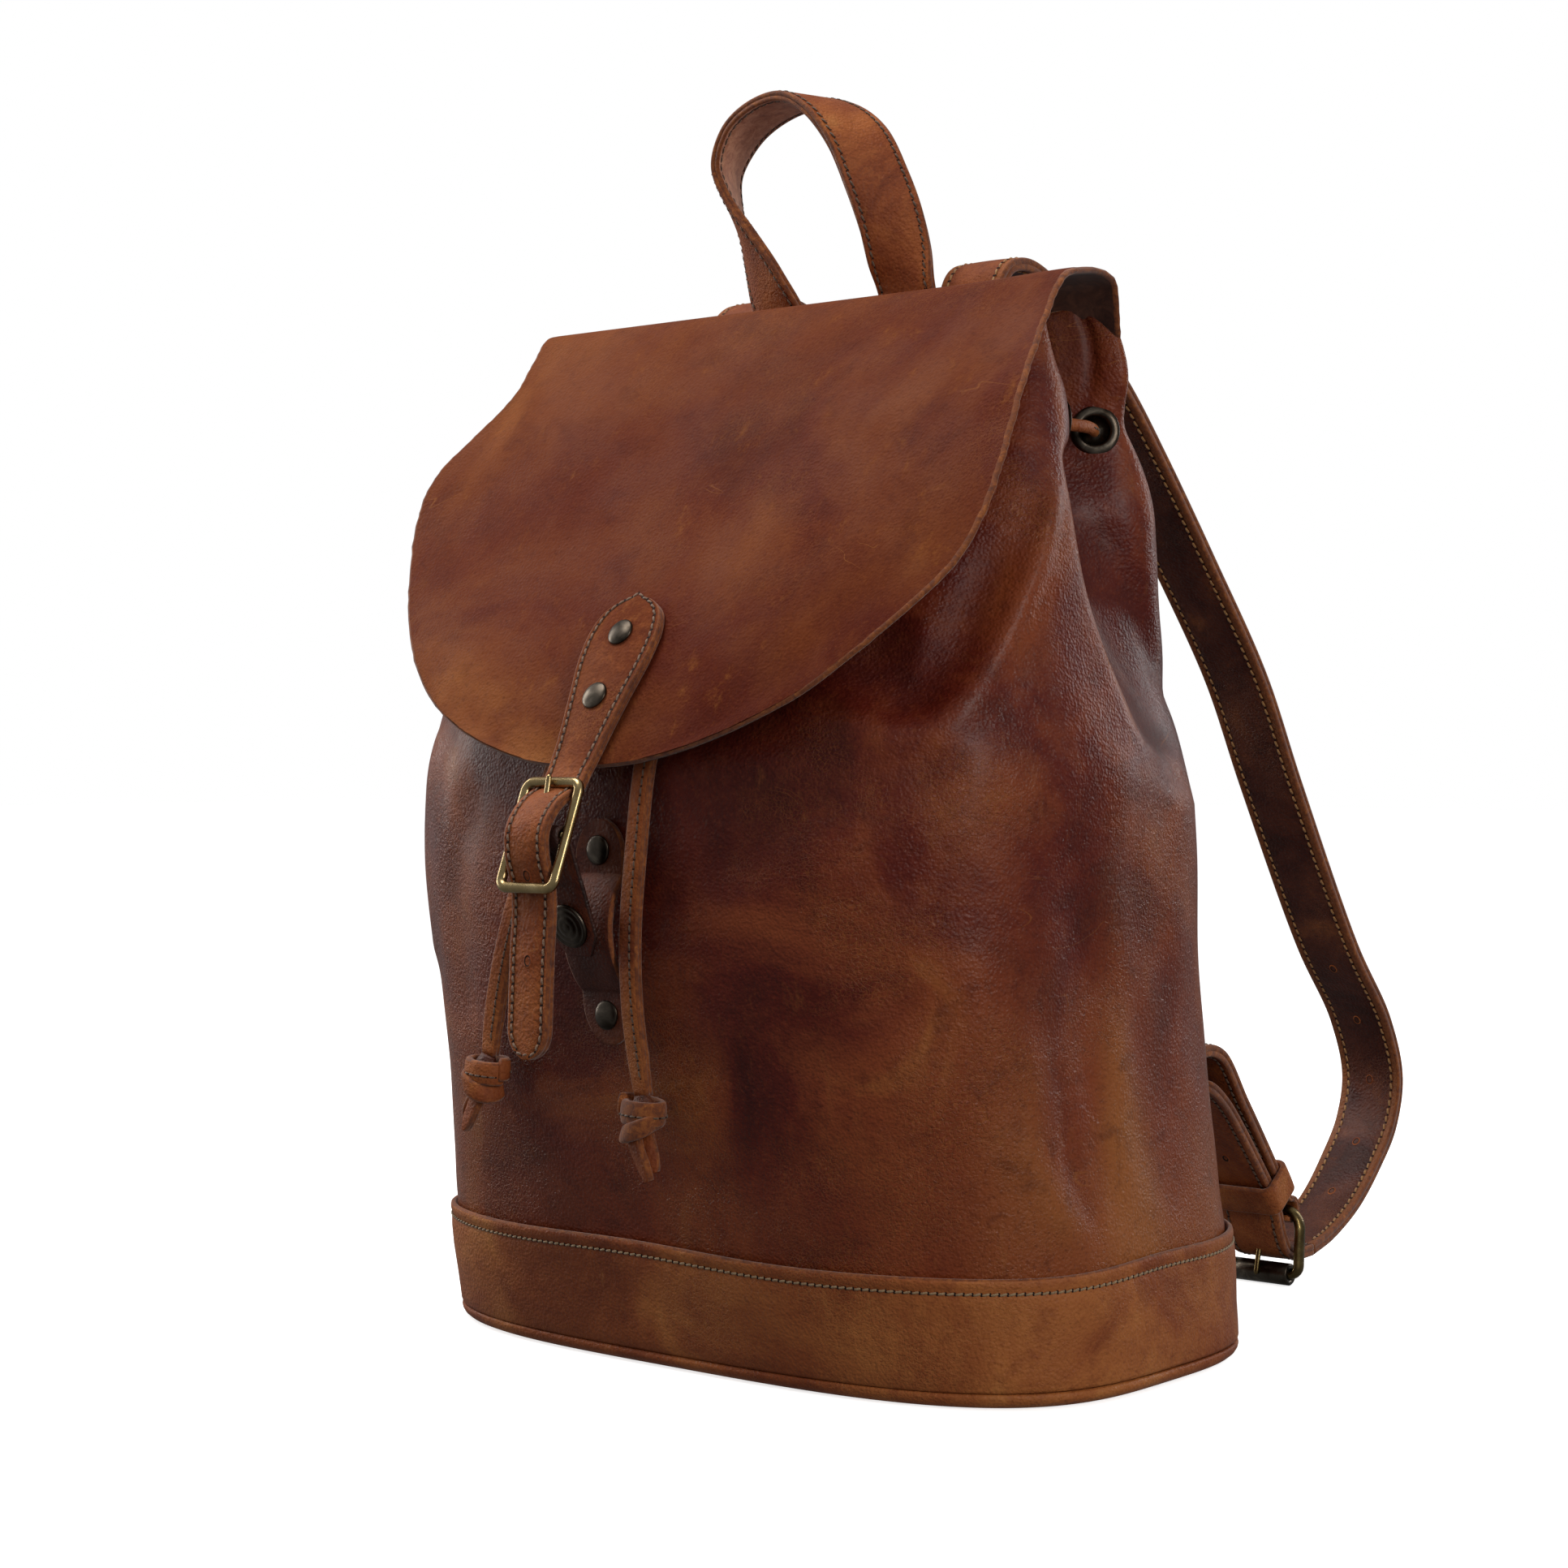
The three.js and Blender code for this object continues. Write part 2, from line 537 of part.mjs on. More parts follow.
function buildClosure() {
  const [head] = onFlap(FLAP_LENGTH - CLOSURE.split, FLAP_LENGTH, headOff, 1);
  const behind = CLOSURE.thickness / 2 + FRONT_BUCKLE.rod + 3.2 * GAP;
  const over = CLOSURE.thickness / 2 + FRONT_BUCKLE.rod + SNAP.thickness + 3 * GAP + 0.3;
  const start = head.clone().add(point(0, -HINGE_SLIT, -2 * HINGE_SLIT));
  const route = [
    start,
    point(0, -149.6, 215.3),
    frameTop.clone().addScaledVector(frameOut, -behind),
    centreBar.clone().addScaledVector(frameOut, over).addScaledVector(frameDown, -9).add(point(0, 2.6, 0)),
    centreBar.clone().addScaledVector(frameOut, over),
    centreBar.clone().addScaledVector(frameOut, over).addScaledVector(frameDown, 9).add(point(0, 2.2, 0)),
    frameBottom.clone().addScaledVector(frameOut, -behind),
    point(0, -167.6, 150),
    point(0, -169, 118),
  ];
  const tipRound = (u) => [Math.min(1, 0.4 + 12 * (1 - u)), 1];
  const strap = sweep(route, flatSection(CLOSURE.width, CLOSURE.thickness), 46, { scaleAt: tipRound });
  const sweeps = prongSweep(centreBar, frontProngTip, FRONT_BUCKLE.rod, PRONG_PLAY);
  const punch = [[0, -9], [STRAP_HOLES.radius, -9], [STRAP_HOLES.radius, 9], [0, 9]];
  const holes = STRAP_HOLES.heights.map((z) => turned(punch, point(0, -168, z), front, 8));
  add("closure_strap", cut(strap, [...sweeps, ...holes]), strapLeather);

  const rod = roundSection(2 * FRONT_BUCKLE.rod, 2 * FRONT_BUCKLE.rod, 6);
  const around = new Frame(frameTop, frameBottom, FRONT_BUCKLE.width, 3.2, 3.2);
  const ring = sweep(around, rod, 48, { closed: true, sideAt: () => frameOut.clone() });
  const barEnd = point(FRONT_BUCKLE.width / 2, 0, 0);
  const bar = sweep([centreBar.clone().sub(barEnd), centreBar, centreBar.clone().add(barEnd)], rod, 2,
    { sideAt: () => frameOut.clone() });
  add("front_buckle", join(ring, bar), wornBrass);
  add("front_prong", prong(centreBar, frontProngTip, FRONT_BUCKLE.rod), wornBrass);

  const down = point(0, ...SNAP.hang);
  const face = point(0, SNAP.hang[1], -SNAP.hang[0]);
  const offBar = (out, along) => centreBar.clone().addScaledVector(face, out).addScaledVector(down, along);
  const bend = FRONT_BUCKLE.rod + GAP + SNAP.thickness / 2;
  const hook = range(7).map((i) => {
    const angle = (i / 6) * Math.PI;
    return offBar(bend * Math.cos(angle), -bend * Math.sin(angle));
  });
  const tabLine = (along) => offBar(-bend, along);
  const tabRoute = [offBar(bend, 10), ...hook, tabLine(12), tabLine(30), tabLine(SNAP.length)];
  const chamfer = (u) => [Math.min(1, 0.5 + 4 * (1 - u)), 1];
  const tab = sweep(tabRoute, flatSection(SNAP.width, SNAP.thickness), 30, { scaleAt: chamfer });
  const slot = sweep([offBar(0, 4.5), centreBar, offBar(0, -6)], flatSection(5.4, 12), 2);
  const capSeat = tabLine(SNAP.capAt);
  const stud = (grow) => turned([[0, -3], [2 + grow, -3], [2 + grow, 3], [0, 3]], capSeat, face);
  add("snap_tab", cut(tab, [slot, stud(GAP)]), darkLeather);
  const under = SNAP.thickness / 2 + GAP;
  const cap = [
    [0, -0.6],
    [1.9, -0.6],
    [1.9, under],
    [SNAP.capRadius, under],
    [SNAP.capRadius, under + 1.4],
    [SNAP.capRadius - 1.4, under + 2.3],
    [0, under + 2.6],
  ];
  add("snap_cap", turned(cap, capSeat, face, 16), darkBrass);
  const socket = [
    [0, 0.9],
    [1.9, 0.9],
    [1.9, under],
    [5, under],
    [5, under + 2.4],
    [3.2, under + 3],
    [0, under + 3],
  ];
  add("snap_socket", turned(socket, capSeat, face.clone().negate()), darkBrass);
}

// ---- Drawstring ------------------------------------------------------------------------------

function buildDrawstring() {
  const seat = (angle, depth) => {
    const { middle, normal } = eyeletSeat(angle);
    return middle.addScaledVector(normal, depth);
  };
  const inside = (angle) => offset(body, angle, EYELET.height, -WALL - 8);
  const half = [
    seat(FRONT_EYELET, -1.2),
    seat(FRONT_EYELET, -8),
    inside(-70),
    inside(-56),
    inside(-40),
    inside(-24),
    seat(FOLD_FRONT_EYELET, -7.5),
    seat(FOLD_FRONT_EYELET, 0),
    seat(FOLD_FRONT_EYELET, 6).lerp(seat(FOLD_REAR_EYELET, 6), 0.3),
    seat(FOLD_FRONT_EYELET, 6).lerp(seat(FOLD_REAR_EYELET, 6), 0.7),
    seat(FOLD_REAR_EYELET, 0),
    seat(FOLD_REAR_EYELET, -7.5),
    inside(40),
    inside(60),
    inside(75),
  ];
  const mirrored = half.map((p) => point(-p.x, p.y, p.z)).toReversed();
  const cordSection = roundSection(2 * CORD.radius, 2 * CORD.radius, 6);
  add("drawstring_neck", sweep([...half, inside(90), ...mirrored], cordSection, 72,
    { sideAt: () => point(0, 0, 1) }), strapLeather);

  const ends = {
    right: [[18, -61.4, 341.6], [18, -64.9, 341], [18, -67.7, 336], [18, -71, 328], [18, -76.8, 318],
      [18.5, -87.6, 302], [19.5, -102, 280], [20.5, -116, 257], [21.5, -128, 236], [22, -134.5, 217],
      [21, -137.6, 190], [18.6, -138, 160], [18, -136.4, 135], [19, -134, 115], [20, -132.8, 104]],
    left: [[-18, -61.4, 341.6], [-18, -64.9, 341], [-18, -67.7, 336], [-17.8, -71, 328],
      [-17.6, -76.6, 318], [-17, -87.6, 302], [-16.5, -102, 280], [-16.5, -116, 257], [-17.5, -128, 236],
      [-21, -134.5, 217], [-30, -136.6, 188], [-40, -136, 166], [-48.5, -134, 145], [-55, -131.8, 125],
      [-57.5, -131, 113]],
  };
  const knots = { right: [[20, -132.6, 103.6], [20.6, -133.6, 92], [22, -133.6, 72]],
    left: [[-57.6, -131, 112.6], [-60, -132, 100], [-64, -131, 82]] };
  const knotScale = track([[0, 0.3], [0.12, 0.8], [0.3, 1], [0.48, 0.8], [0.6, 0.42], [0.9, 0.36],
    [1, 0.15]]);
  for (const side of ["right", "left"]) {
    const line = ends[side].map(([x, y, z]) => point(x, y, z));
    add(`drawstring_end_${side}`, sweep(line, roundSection(CORD.width, CORD.thickness, 8), 28), strapLeather);
    const lump = knots[side].map(([x, y, z]) => point(x, y, z));
    const scaleAt = (u) => [knotScale(u), Math.max(knotScale(u), 0.2)];
    add(`drawstring_knot_${side}`, sweep(lump, roundSection(26, 14, 10), 14, { scaleAt }), strapLeather);
  }
}

// ---- Handle ----------------------------------------------------------------------------------

// A line on the outside of the rear flap, for what is sewn over it.
const onBack = (x, from, to, off, count) =>
  range(count + 1).map((i) => {
    const along = (from + ((to - from) * i) / count) / FLAP_BACK_LENGTH;
    const tangent = flapBack.getTangentAt(along);
    return flapBack.getPointAt(along).add(point(x, -tangent.z * off, tangent.y * off));
  });

const ROOT_TOP = 45.5; // where the straps turn up, along the leather from the ridge
const ROOT_LENGTH = 40;
const HANDLE_HINGE = { height: 403, slit: 0.6 }; // the handle turns just above the ridge
const handleOff = GAP + HANDLE.thickness / 2;
const strapOff = GAP + STRAP.thickness / 2;

function buildHandle() {
  const up = onBack(HANDLE.x, ROOT_TOP + ROOT_LENGTH, ROOT_TOP, handleOff, 6);
  const down = onBack(-HANDLE.x, ROOT_TOP, ROOT_TOP + ROOT_LENGTH, handleOff, 6);
  const route = [[30.4, 10.6, 384.8], [31.2, 4.2, 396], [31.2, 0, 409], [28.8, -3, 425], [23.4, -5, 441],
    [15, -6, 457.8], [2, -6, 470.3], [-13, -5, 476.6], [-30, -4.6, 475], [-44.6, -4, 467.5],
    [-53, -3.4, 454], [-51, -2.6, 441], [-43, -1.6, 424], [-35.4, 0, 407], [-31.6, 3.6, 396],
    [-30.2, 10.2, 385]];
  const points = [...up, ...route.map(([x, y, z]) => point(x, y, z)), ...down];
  const line = new THREE.CatmullRomCurve3(points, false, "centripetal");
  line.arcLengthDivisions = 800;
  const whole = line.getLength();
  const twist = track([[0, 0], [0.11, 3], [0.16, 26], [0.25, 42], [0.35, 52], [0.5, 80], [0.6, 95],
    [0.7, 115], [0.8, 142], [0.87, 164], [0.91, 176], [1, 180]]);
  const sideAt = (u) => {
    const turned = degrees(twist((u * whole - ROOT_LENGTH) / (whole - 2 * ROOT_LENGTH)));
    return point(Math.cos(turned), Math.sin(turned), 0);
  };
  const above = range(1001).map((i) => i / 1000).filter((u) => line.getPointAt(u).z > HANDLE_HINGE.height);
  const [first, last, slit] = [above[0], above[above.length - 1], HANDLE_HINGE.slit / whole];
  const leather = (name, from, to, steps) => {
    const stopAt = (t) => THREE.MathUtils.lerp(from, to, t);
    add(name, sweep(line, flatSection(HANDLE.width, HANDLE.thickness), steps, { sideAt, stopAt }),
      strapLeather);
  };
  leather("handle", first + slit, last - slit, 40);
  leather("handle_root_right", 0, first - slit, 12);
  leather("handle_root_left", last + slit, 1, 12);
  const yokeAcross = range(9).map((i) => YOKE.reach * (-1 + i / 4));
  const yokeDown = range(6).map((i) => THREE.MathUtils.lerp(YOKE.top, FLAP_BACK_LENGTH, i / 5));
  const yokeInner = STRAP.thickness + 4 * GAP;
  const yokeOuter = yokeInner + YOKE.thickness;
  add("back_yoke", shell(flapBackSurface, yokeAcross, yokeDown, yokeOuter, yokeInner), bodyLeather);
}

// ---- Shoulder straps and their lower buckles --------------------------------------------------

const [strapTop] = onBack(STRAP.x, ROOT_TOP, ROOT_TOP, strapOff, 1);
const strapFoot = point(STRAP.lowX, 206, 12.6);

function buildShoulder(side, sign) {
  const place = (points) => points.map((p) => point(sign * p.x, p.y, p.z));
  const flat = flatSection(STRAP.width, STRAP.thickness);
  const [start] = onBack(STRAP.x, ROOT_TOP - HINGE_SLIT, ROOT_TOP, strapOff + GAP, 1);
  const route = [start, point(57.2, 12.8, 386), point(57.2, 10.6, 397), point(57.2, 16, 405.2),
    point(57.2, 27.5, 408), point(57.3, 42.5, 404), point(57.6, 60, 394), point(58.5, 94, 368),
    point(60.5, 118.5, 341), point(63.5, 151.5, 300.5), point(67.5, 185.5, 254.5),
    point(70.5, 209.5, 209.5), point(74.5, 252.1, 138.5), point(76, 279.3, 104), point(76.5, 289.4, 78),
    point(77, 283.5, 58), point(78, 267, 42), point(79, 246.5, 27), point(79.6, 224, 17),
    strapFoot.clone().add(point(0, 1.8, 0.3))];
  const axis = strapFoot.clone().sub(strapTop).normalize();
  const mirroredAxis = point(sign * axis.x, axis.y, axis.z);
  const tangentAt = (u, natural) => (u === 0 ? mirroredAxis.clone().negate() : natural);
  add(`shoulder_strap_${side}`, sweep(place(route), flat, 46, { tangentAt }), strapLeather);

  const root = onBack(STRAP.x, ROOT_TOP + HINGE_SLIT, ROOT_TOP + HINGE_SLIT + ROOT_LENGTH, strapOff, 6);
  const rootSheet = sweep(place(root), flatSection(STRAP.width - 2, STRAP.thickness), 6);
  add(`strap_root_${side}`, rootSheet, strapLeather);

  const hinge = point(STRAP.lowX, ...SHOULDER_BUCKLE.hingeBar);
  const roller = point(STRAP.lowX, ...SHOULDER_BUCKLE.rollerBar);
  const reach = ROLLER.outer + PRONG_RADIUS + GAP;
  const tip = roller.clone().add(point(0, -reach, -0.6));
  const play = prongSweep(hinge, tip, SHOULDER_BUCKLE.rod, -PRONG_PLAY);
  const toSide = (geometry) => (sign > 0 ? geometry : clean(geometry.scale(-1, 1, 1)));

  const bend = SHOULDER_BUCKLE.rod + 4.5 * GAP + STRAP.thickness / 4;
  const hook = range(8).map((i) => {
    const angle = degrees(100 - (i * 230) / 7);
    return hinge.clone().add(point(0, bend * Math.cos(angle), bend * Math.sin(angle)));
  });
  const anchorLine = [...inPlane(STRAP.lowX, [[94, 49.5], [96.5, 66], [104, 89], [118, 103], [133, 101],
    [151, 80], [165, 63], [175, 50.5], [182, 41.5]]), ...hook];
  const anchor = sweep(anchorLine, flat, 50, {
    scaleAt: (u) => [1, u > 0.82 ? 0.5 : 1],
    stopAt: (t) => t * (1.7 - 0.7 * t),
  });
  const prongSlot = sweep([hinge.clone().add(point(0, -7, -1)), hinge, hinge.clone().add(point(0, 8, 1))],
    flatSection(7, 15), 2);
  add(`anchor_strap_${side}`, toSide(cut(anchor, [prongSlot])), strapLeather);

  const tailLine = inPlane(STRAP.lowX, [[203.2, 12.4], [194, 12.4], [186.5, 15.4], [181.6, 22.5],
    [178.2, 31.5], [172.4, 41.6], [162, 54], [149, 68.5], [137, 80.5], [125, 88.5], [113.5, 91]]);
  const tail = sweep(tailLine, flat, 34);
  add(`strap_tail_${side}`, toSide(cut(tail, play)), strapLeather);

  const rod = roundSection(2 * SHOULDER_BUCKLE.rod, 2 * SHOULDER_BUCKLE.rod, 6);
  const around = new Frame(hinge, roller, SHOULDER_BUCKLE.width, 7, 3.6);
  const along = point(0, 1, 0);
  const ring = sweep(around, rod, 44, { closed: true, sideAt: () => along.clone() });
  add(`shoulder_buckle_${side}`, toSide(ring), darkBrass);
  add(`shoulder_prong_${side}`, toSide(prong(hinge, tip, SHOULDER_BUCKLE.rod)), darkBrass);

  const slope = point(0, ...KEEPER.slope);
  const stack = point(0, -KEEPER.slope[1], KEEPER.slope[0]).multiplyScalar(KEEPER.height / 2);
  const middle = point(STRAP.lowX, ...KEEPER.centre);
  const loop = new Frame(middle.clone().add(stack), middle.clone().sub(stack), KEEPER.across, 3, 3);
  const keeper = sweep(loop, flatSection(KEEPER.width, KEEPER.thickness), 32,
    { closed: true, sideAt: () => slope.clone() });
  add(`keeper_${side}`, toSide(keeper), strapLeather);
  const half = ROLLER.length / 2;
  const tube = [[ROLLER.inner, -half], [ROLLER.outer, -half], [ROLLER.outer, half], [ROLLER.inner, half],
    [ROLLER.inner, -half]];
  add(`shoulder_roller_${side}`, toSide(turned(tube, roller, sideways)), darkBrass);
}

buildBody();
buildFlap();
buildClosure();
buildDrawstring();
buildHandle();
buildShoulder("right", 1);
buildShoulder("left", -1);

export default model;
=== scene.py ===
import math

import bpy
import numpy as np
from mathutils import Matrix, Vector


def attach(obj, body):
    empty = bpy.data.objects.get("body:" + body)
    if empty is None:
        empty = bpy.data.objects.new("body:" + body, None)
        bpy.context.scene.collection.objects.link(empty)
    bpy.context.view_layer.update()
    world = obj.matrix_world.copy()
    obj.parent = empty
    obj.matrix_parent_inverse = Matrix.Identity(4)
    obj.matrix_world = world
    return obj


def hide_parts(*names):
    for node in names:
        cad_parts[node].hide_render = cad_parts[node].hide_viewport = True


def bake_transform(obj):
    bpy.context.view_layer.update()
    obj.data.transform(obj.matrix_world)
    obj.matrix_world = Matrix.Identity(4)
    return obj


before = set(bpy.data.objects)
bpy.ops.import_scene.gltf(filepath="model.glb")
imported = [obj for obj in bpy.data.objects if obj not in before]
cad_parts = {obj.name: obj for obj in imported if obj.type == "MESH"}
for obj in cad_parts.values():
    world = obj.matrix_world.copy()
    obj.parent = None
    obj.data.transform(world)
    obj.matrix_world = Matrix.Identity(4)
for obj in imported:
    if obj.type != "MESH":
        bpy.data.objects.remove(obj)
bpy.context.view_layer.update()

# Lengths are in millimetres, angles round the bag in degrees from +X. link_mesh turns them into metres.
MM = 0.001
GAP = 0.3
WALL = 3.0
BAND_OUT = 2.9
BAND_FOOT = 6.0
BAND_STITCHES = 41.6
SEAM = 52.0
FLAP_THICKNESS = 2.4
EYELET_HEIGHT = 341.0
EYELET_HOLE = 7.4
STITCH = (2.6, 0.42)
ACROSS = np.array([1.0, 0.0, 0.0])

# ---- Camera and cord facts -------------------------------------------------------------------

turn, tilt = math.radians(39.7), math.radians(0.68)
right = Vector((math.cos(turn), math.sin(turn), 0))
back = Vector((math.sin(turn) * math.cos(tilt), -math.cos(turn) * math.cos(tilt), math.sin(tilt)))
up = back.cross(right)
camera = bpy.data.objects.new("camera", bpy.data.cameras.new("camera"))
camera.data.sensor_width = 36
camera.data.lens = 65.7
camera.matrix_world = Matrix((
    (right.x, up.x, back.x, 0.6932),
    (right.y, up.y, back.y, -0.8671),
    (right.z, up.z, back.z, 0.2242),
    (0, 0, 0, 1),
))
bpy.context.collection.objects.link(camera)
bpy.context.scene.camera = camera

# Each end of the drawstring: a flat cord, 8.5 mm wide, from its front eyelet to its knot.
CORD_WIDTH, CORD_THICKNESS = 8.5, 3.4
CORDS = {
    "right": [(18, -61.4, 341.6), (18, -64.9, 341), (18, -67.7, 336), (18, -71, 328), (18, -76.8, 318),
              (18.5, -87.6, 302), (19.5, -102, 280), (20.5, -116, 257), (21.5, -128, 236),
              (22, -134.5, 217), (21, -137.6, 190), (18.6, -138, 160), (18, -136.4, 135),
              (19, -134, 115), (20, -132.8, 104)],
    "left": [(-18, -61.4, 341.6), (-18, -64.9, 341), (-18, -67.7, 336), (-17.8, -71, 328),
             (-17.6, -76.6, 318), (-17, -87.6, 302), (-16.5, -102, 280), (-16.5, -116, 257),
             (-17.5, -128, 236), (-21, -134.5, 217), (-30, -136.6, 188), (-40, -136, 166),
             (-48.5, -134, 145), (-55, -131.8, 125), (-57.5, -131, 113)],
}
KNOTS = {
    "right": ((20.6, -133.8, 95), (2, -1, -23)),
    "left": ((-59, -132.2, 104), (-5, 0.6, -22)),
}

# ---- Curves and surfaces ---------------------------------------------------------------------


def vec(*values):
    return np.array(values, float)


def at_x(x, pairs):
    """Points at one x from (y, z) pairs."""
    return np.array([(x, y, z) for y, z in pairs], float)


def unit(v):
    return v / np.maximum(np.linalg.norm(v, axis=-1, keepdims=True), 1e-9)


def track(pairs):
    """A smooth value through (position, value) pairs."""
    at, value = np.array(pairs, float).T
    count = np.arange(len(at))
    before, after = np.maximum(count - 1, 0), np.minimum(count + 1, len(at) - 1)
    slope = (value[after] - value[before]) / (at[after] - at[before])

    def sample(x):
        x = np.asarray(x, float)
        i = np.searchsorted(at[1:-1], x, side="left")
        span = at[i + 1] - at[i]
        t = np.clip((x - at[i]) / span, 0, 1)
        rise = value[i + 1] - value[i]
        first = slope[i] * span - rise
        second = -slope[i + 1] * span + rise
        return value[i] + t * rise + t * (1 - t) * (first * (1 - t) + second * t)

    return sample


def smooth(x, low, high):
    t = np.clip((np.asarray(x, float) - low) / (high - low), 0, 1)
    return t * t * (3 - 2 * t)


def even(points, count, closed=False):
    """The same line with evenly spaced points."""
    if closed:
        points = np.vstack([points, points[:1]])
    lengths = np.concatenate([[0], np.cumsum(np.linalg.norm(np.diff(points, axis=0), axis=1))])
    at = np.linspace(0, lengths[-1], count + 1 if closed else count)
    line = np.stack([np.interp(at, lengths, points[:, k]) for k in range(3)], axis=1)
    return line[:-1] if closed else line


def curve(points, count):
    """Evenly spaced points on a smooth line through points."""
    p = np.array(points, float)
    p = np.vstack([2 * p[0] - p[1], p, 2 * p[-1] - p[-2]])
    pieces = []
    for i in range(1, len(p) - 2):
        p0, p1, p2, p3 = p[i - 1:i + 3]
        d0, d1, d2 = (math.sqrt(np.linalg.norm(b - a)) for a, b in ((p0, p1), (p1, p2), (p2, p3)))
        m1 = ((p1 - p0) / d0 - (p2 - p0) / (d0 + d1) + (p2 - p1) / d1) * d1
        m2 = ((p2 - p1) / d1 - (p3 - p1) / (d1 + d2) + (p3 - p2) / d2) * d1
        t = np.linspace(0, 1, 25)[:-1, None]
        pieces.append((2 * t**3 - 3 * t**2 + 1) * p1 + (t**3 - 2 * t**2 + t) * m1
                      + (3 * t**2 - 2 * t**3) * p2 + (t**3 - t**2) * m2)
    pieces.append(p[-2][None])
    return even(np.vstack(pieces), count)


def tangents(line, closed=False):
    if closed:
        return unit(np.roll(line, -1, axis=0) - np.roll(line, 1, axis=0))
    return unit(np.gradient(line, axis=0))


def length_of(line):
    return float(np.linalg.norm(np.diff(line, axis=0), axis=1).sum())


def along_line(line, distance):
    """Points and directions at distances along an evenly spaced line."""
    at = np.asarray(distance, float) / length_of(line) * (len(line) - 1)
    index = np.arange(len(line))
    place = np.stack([np.interp(at, index, line[:, k]) for k in range(3)], axis=-1)
    way = np.stack([np.interp(at, index, tangents(line)[:, k]) for k in range(3)], axis=-1)
    return place, unit(way)


half_width = track([(0, 153), (46, 152), (90, 147.5), (130, 146), (212, 149), (261, 142), (306, 137),
                    (340, 128), (378, 118)])
front_y = track([(0, -96), (46, -107), (130, -127), (212, -130), (257, -112), (302, -84), (344, -58),
                 (378, -37)])
back_y = track([(0, 93), (46, 93), (130, 91), (212, 82), (295, 60), (340, 36), (366, 13), (378, 6)])
widest_y = track([(0, -2), (46, -7), (130, -18), (212, -24), (300, -20), (340, -12), (378, -12)])
squareness = track([(0, 3.3), (212, 2.9), (300, 3.4), (340, 5), (378, 5.5)])
fold_depth = track([(205, 0), (234, 9), (266, 19), (306, 28), (340, 33), (378, 34)])
fold_y = track([(205, 28), (234, 12), (266, 0), (306, -8), (340, -5), (378, -5)])
fold_front = track([(205, 20), (234, 26), (266, 28), (306, 25), (340, 13), (378, 12)])
fold_rear = track([(205, 32), (266, 30), (306, 24), (340, 20), (378, 10)])
crest_y = track([(205, 24), (216, 18), (221, 5), (228, -12), (242, -21), (263, -29), (289, -36),
                 (310, -38), (336, -34), (378, -24)])
left_slump = track([(0, 0.03), (46, 0.032), (90, 0.042), (150, 0.05), (215, 0.045), (240, 0.02), (262, 0)])


def body(angle, z):
    """The outside of the bag at an angle round it from +X, in degrees, and a height."""
    angle, z = np.broadcast_arrays(np.asarray(angle, float), np.asarray(z, float))
    cos, sin = np.cos(np.radians(angle)), np.sin(np.radians(angle))
    middle = widest_y(z)
    depth = np.where(sin < 0, middle - front_y(z), back_y(z) - middle)
    power = squareness(z)
    reach_out = (np.abs(cos) ** power + np.abs(sin) ** power) ** (-1 / power)
    y = middle + depth * reach_out * sin
    away = y - fold_y(z)
    reach = np.where(away < 0, fold_front(z), fold_rear(z))
    soft = np.exp(-((away / reach) ** 2))
    arch = 1 - (away / np.maximum(fold_y(z) - crest_y(z), 6)) ** 2
    crisp = (arch + np.sqrt(arch**2 + 0.02)) / 2
    share = (away < 0) * smooth(z, 212, 232) * (1 - smooth(z, 318, 334))
    fold = fold_depth(z) * (soft + (np.minimum(crisp, 1.0) - soft) * share)
    x = (half_width(z) - fold) * reach_out * cos
    x = x * (1 - left_slump(np.clip(z, 0, 262)) * smooth(-cos, 0.15, 0.85))
    corner = smooth(z, 340, 372) * smooth(sin, 0.0, 0.5) * smooth(np.abs(x), 50, 84)
    x = x + np.sign(x) * 21 * corner
    return np.stack([x, y + 11 * corner, z + 8 * corner * smooth(z, 355, 378)], axis=-1)


def body_normal(angle, z):
    step = 0.05
    across = body(angle + step, z) - body(angle - step, z)
    rise = body(angle, z + step) - body(angle, z - step)
    return unit(np.cross(across, rise))


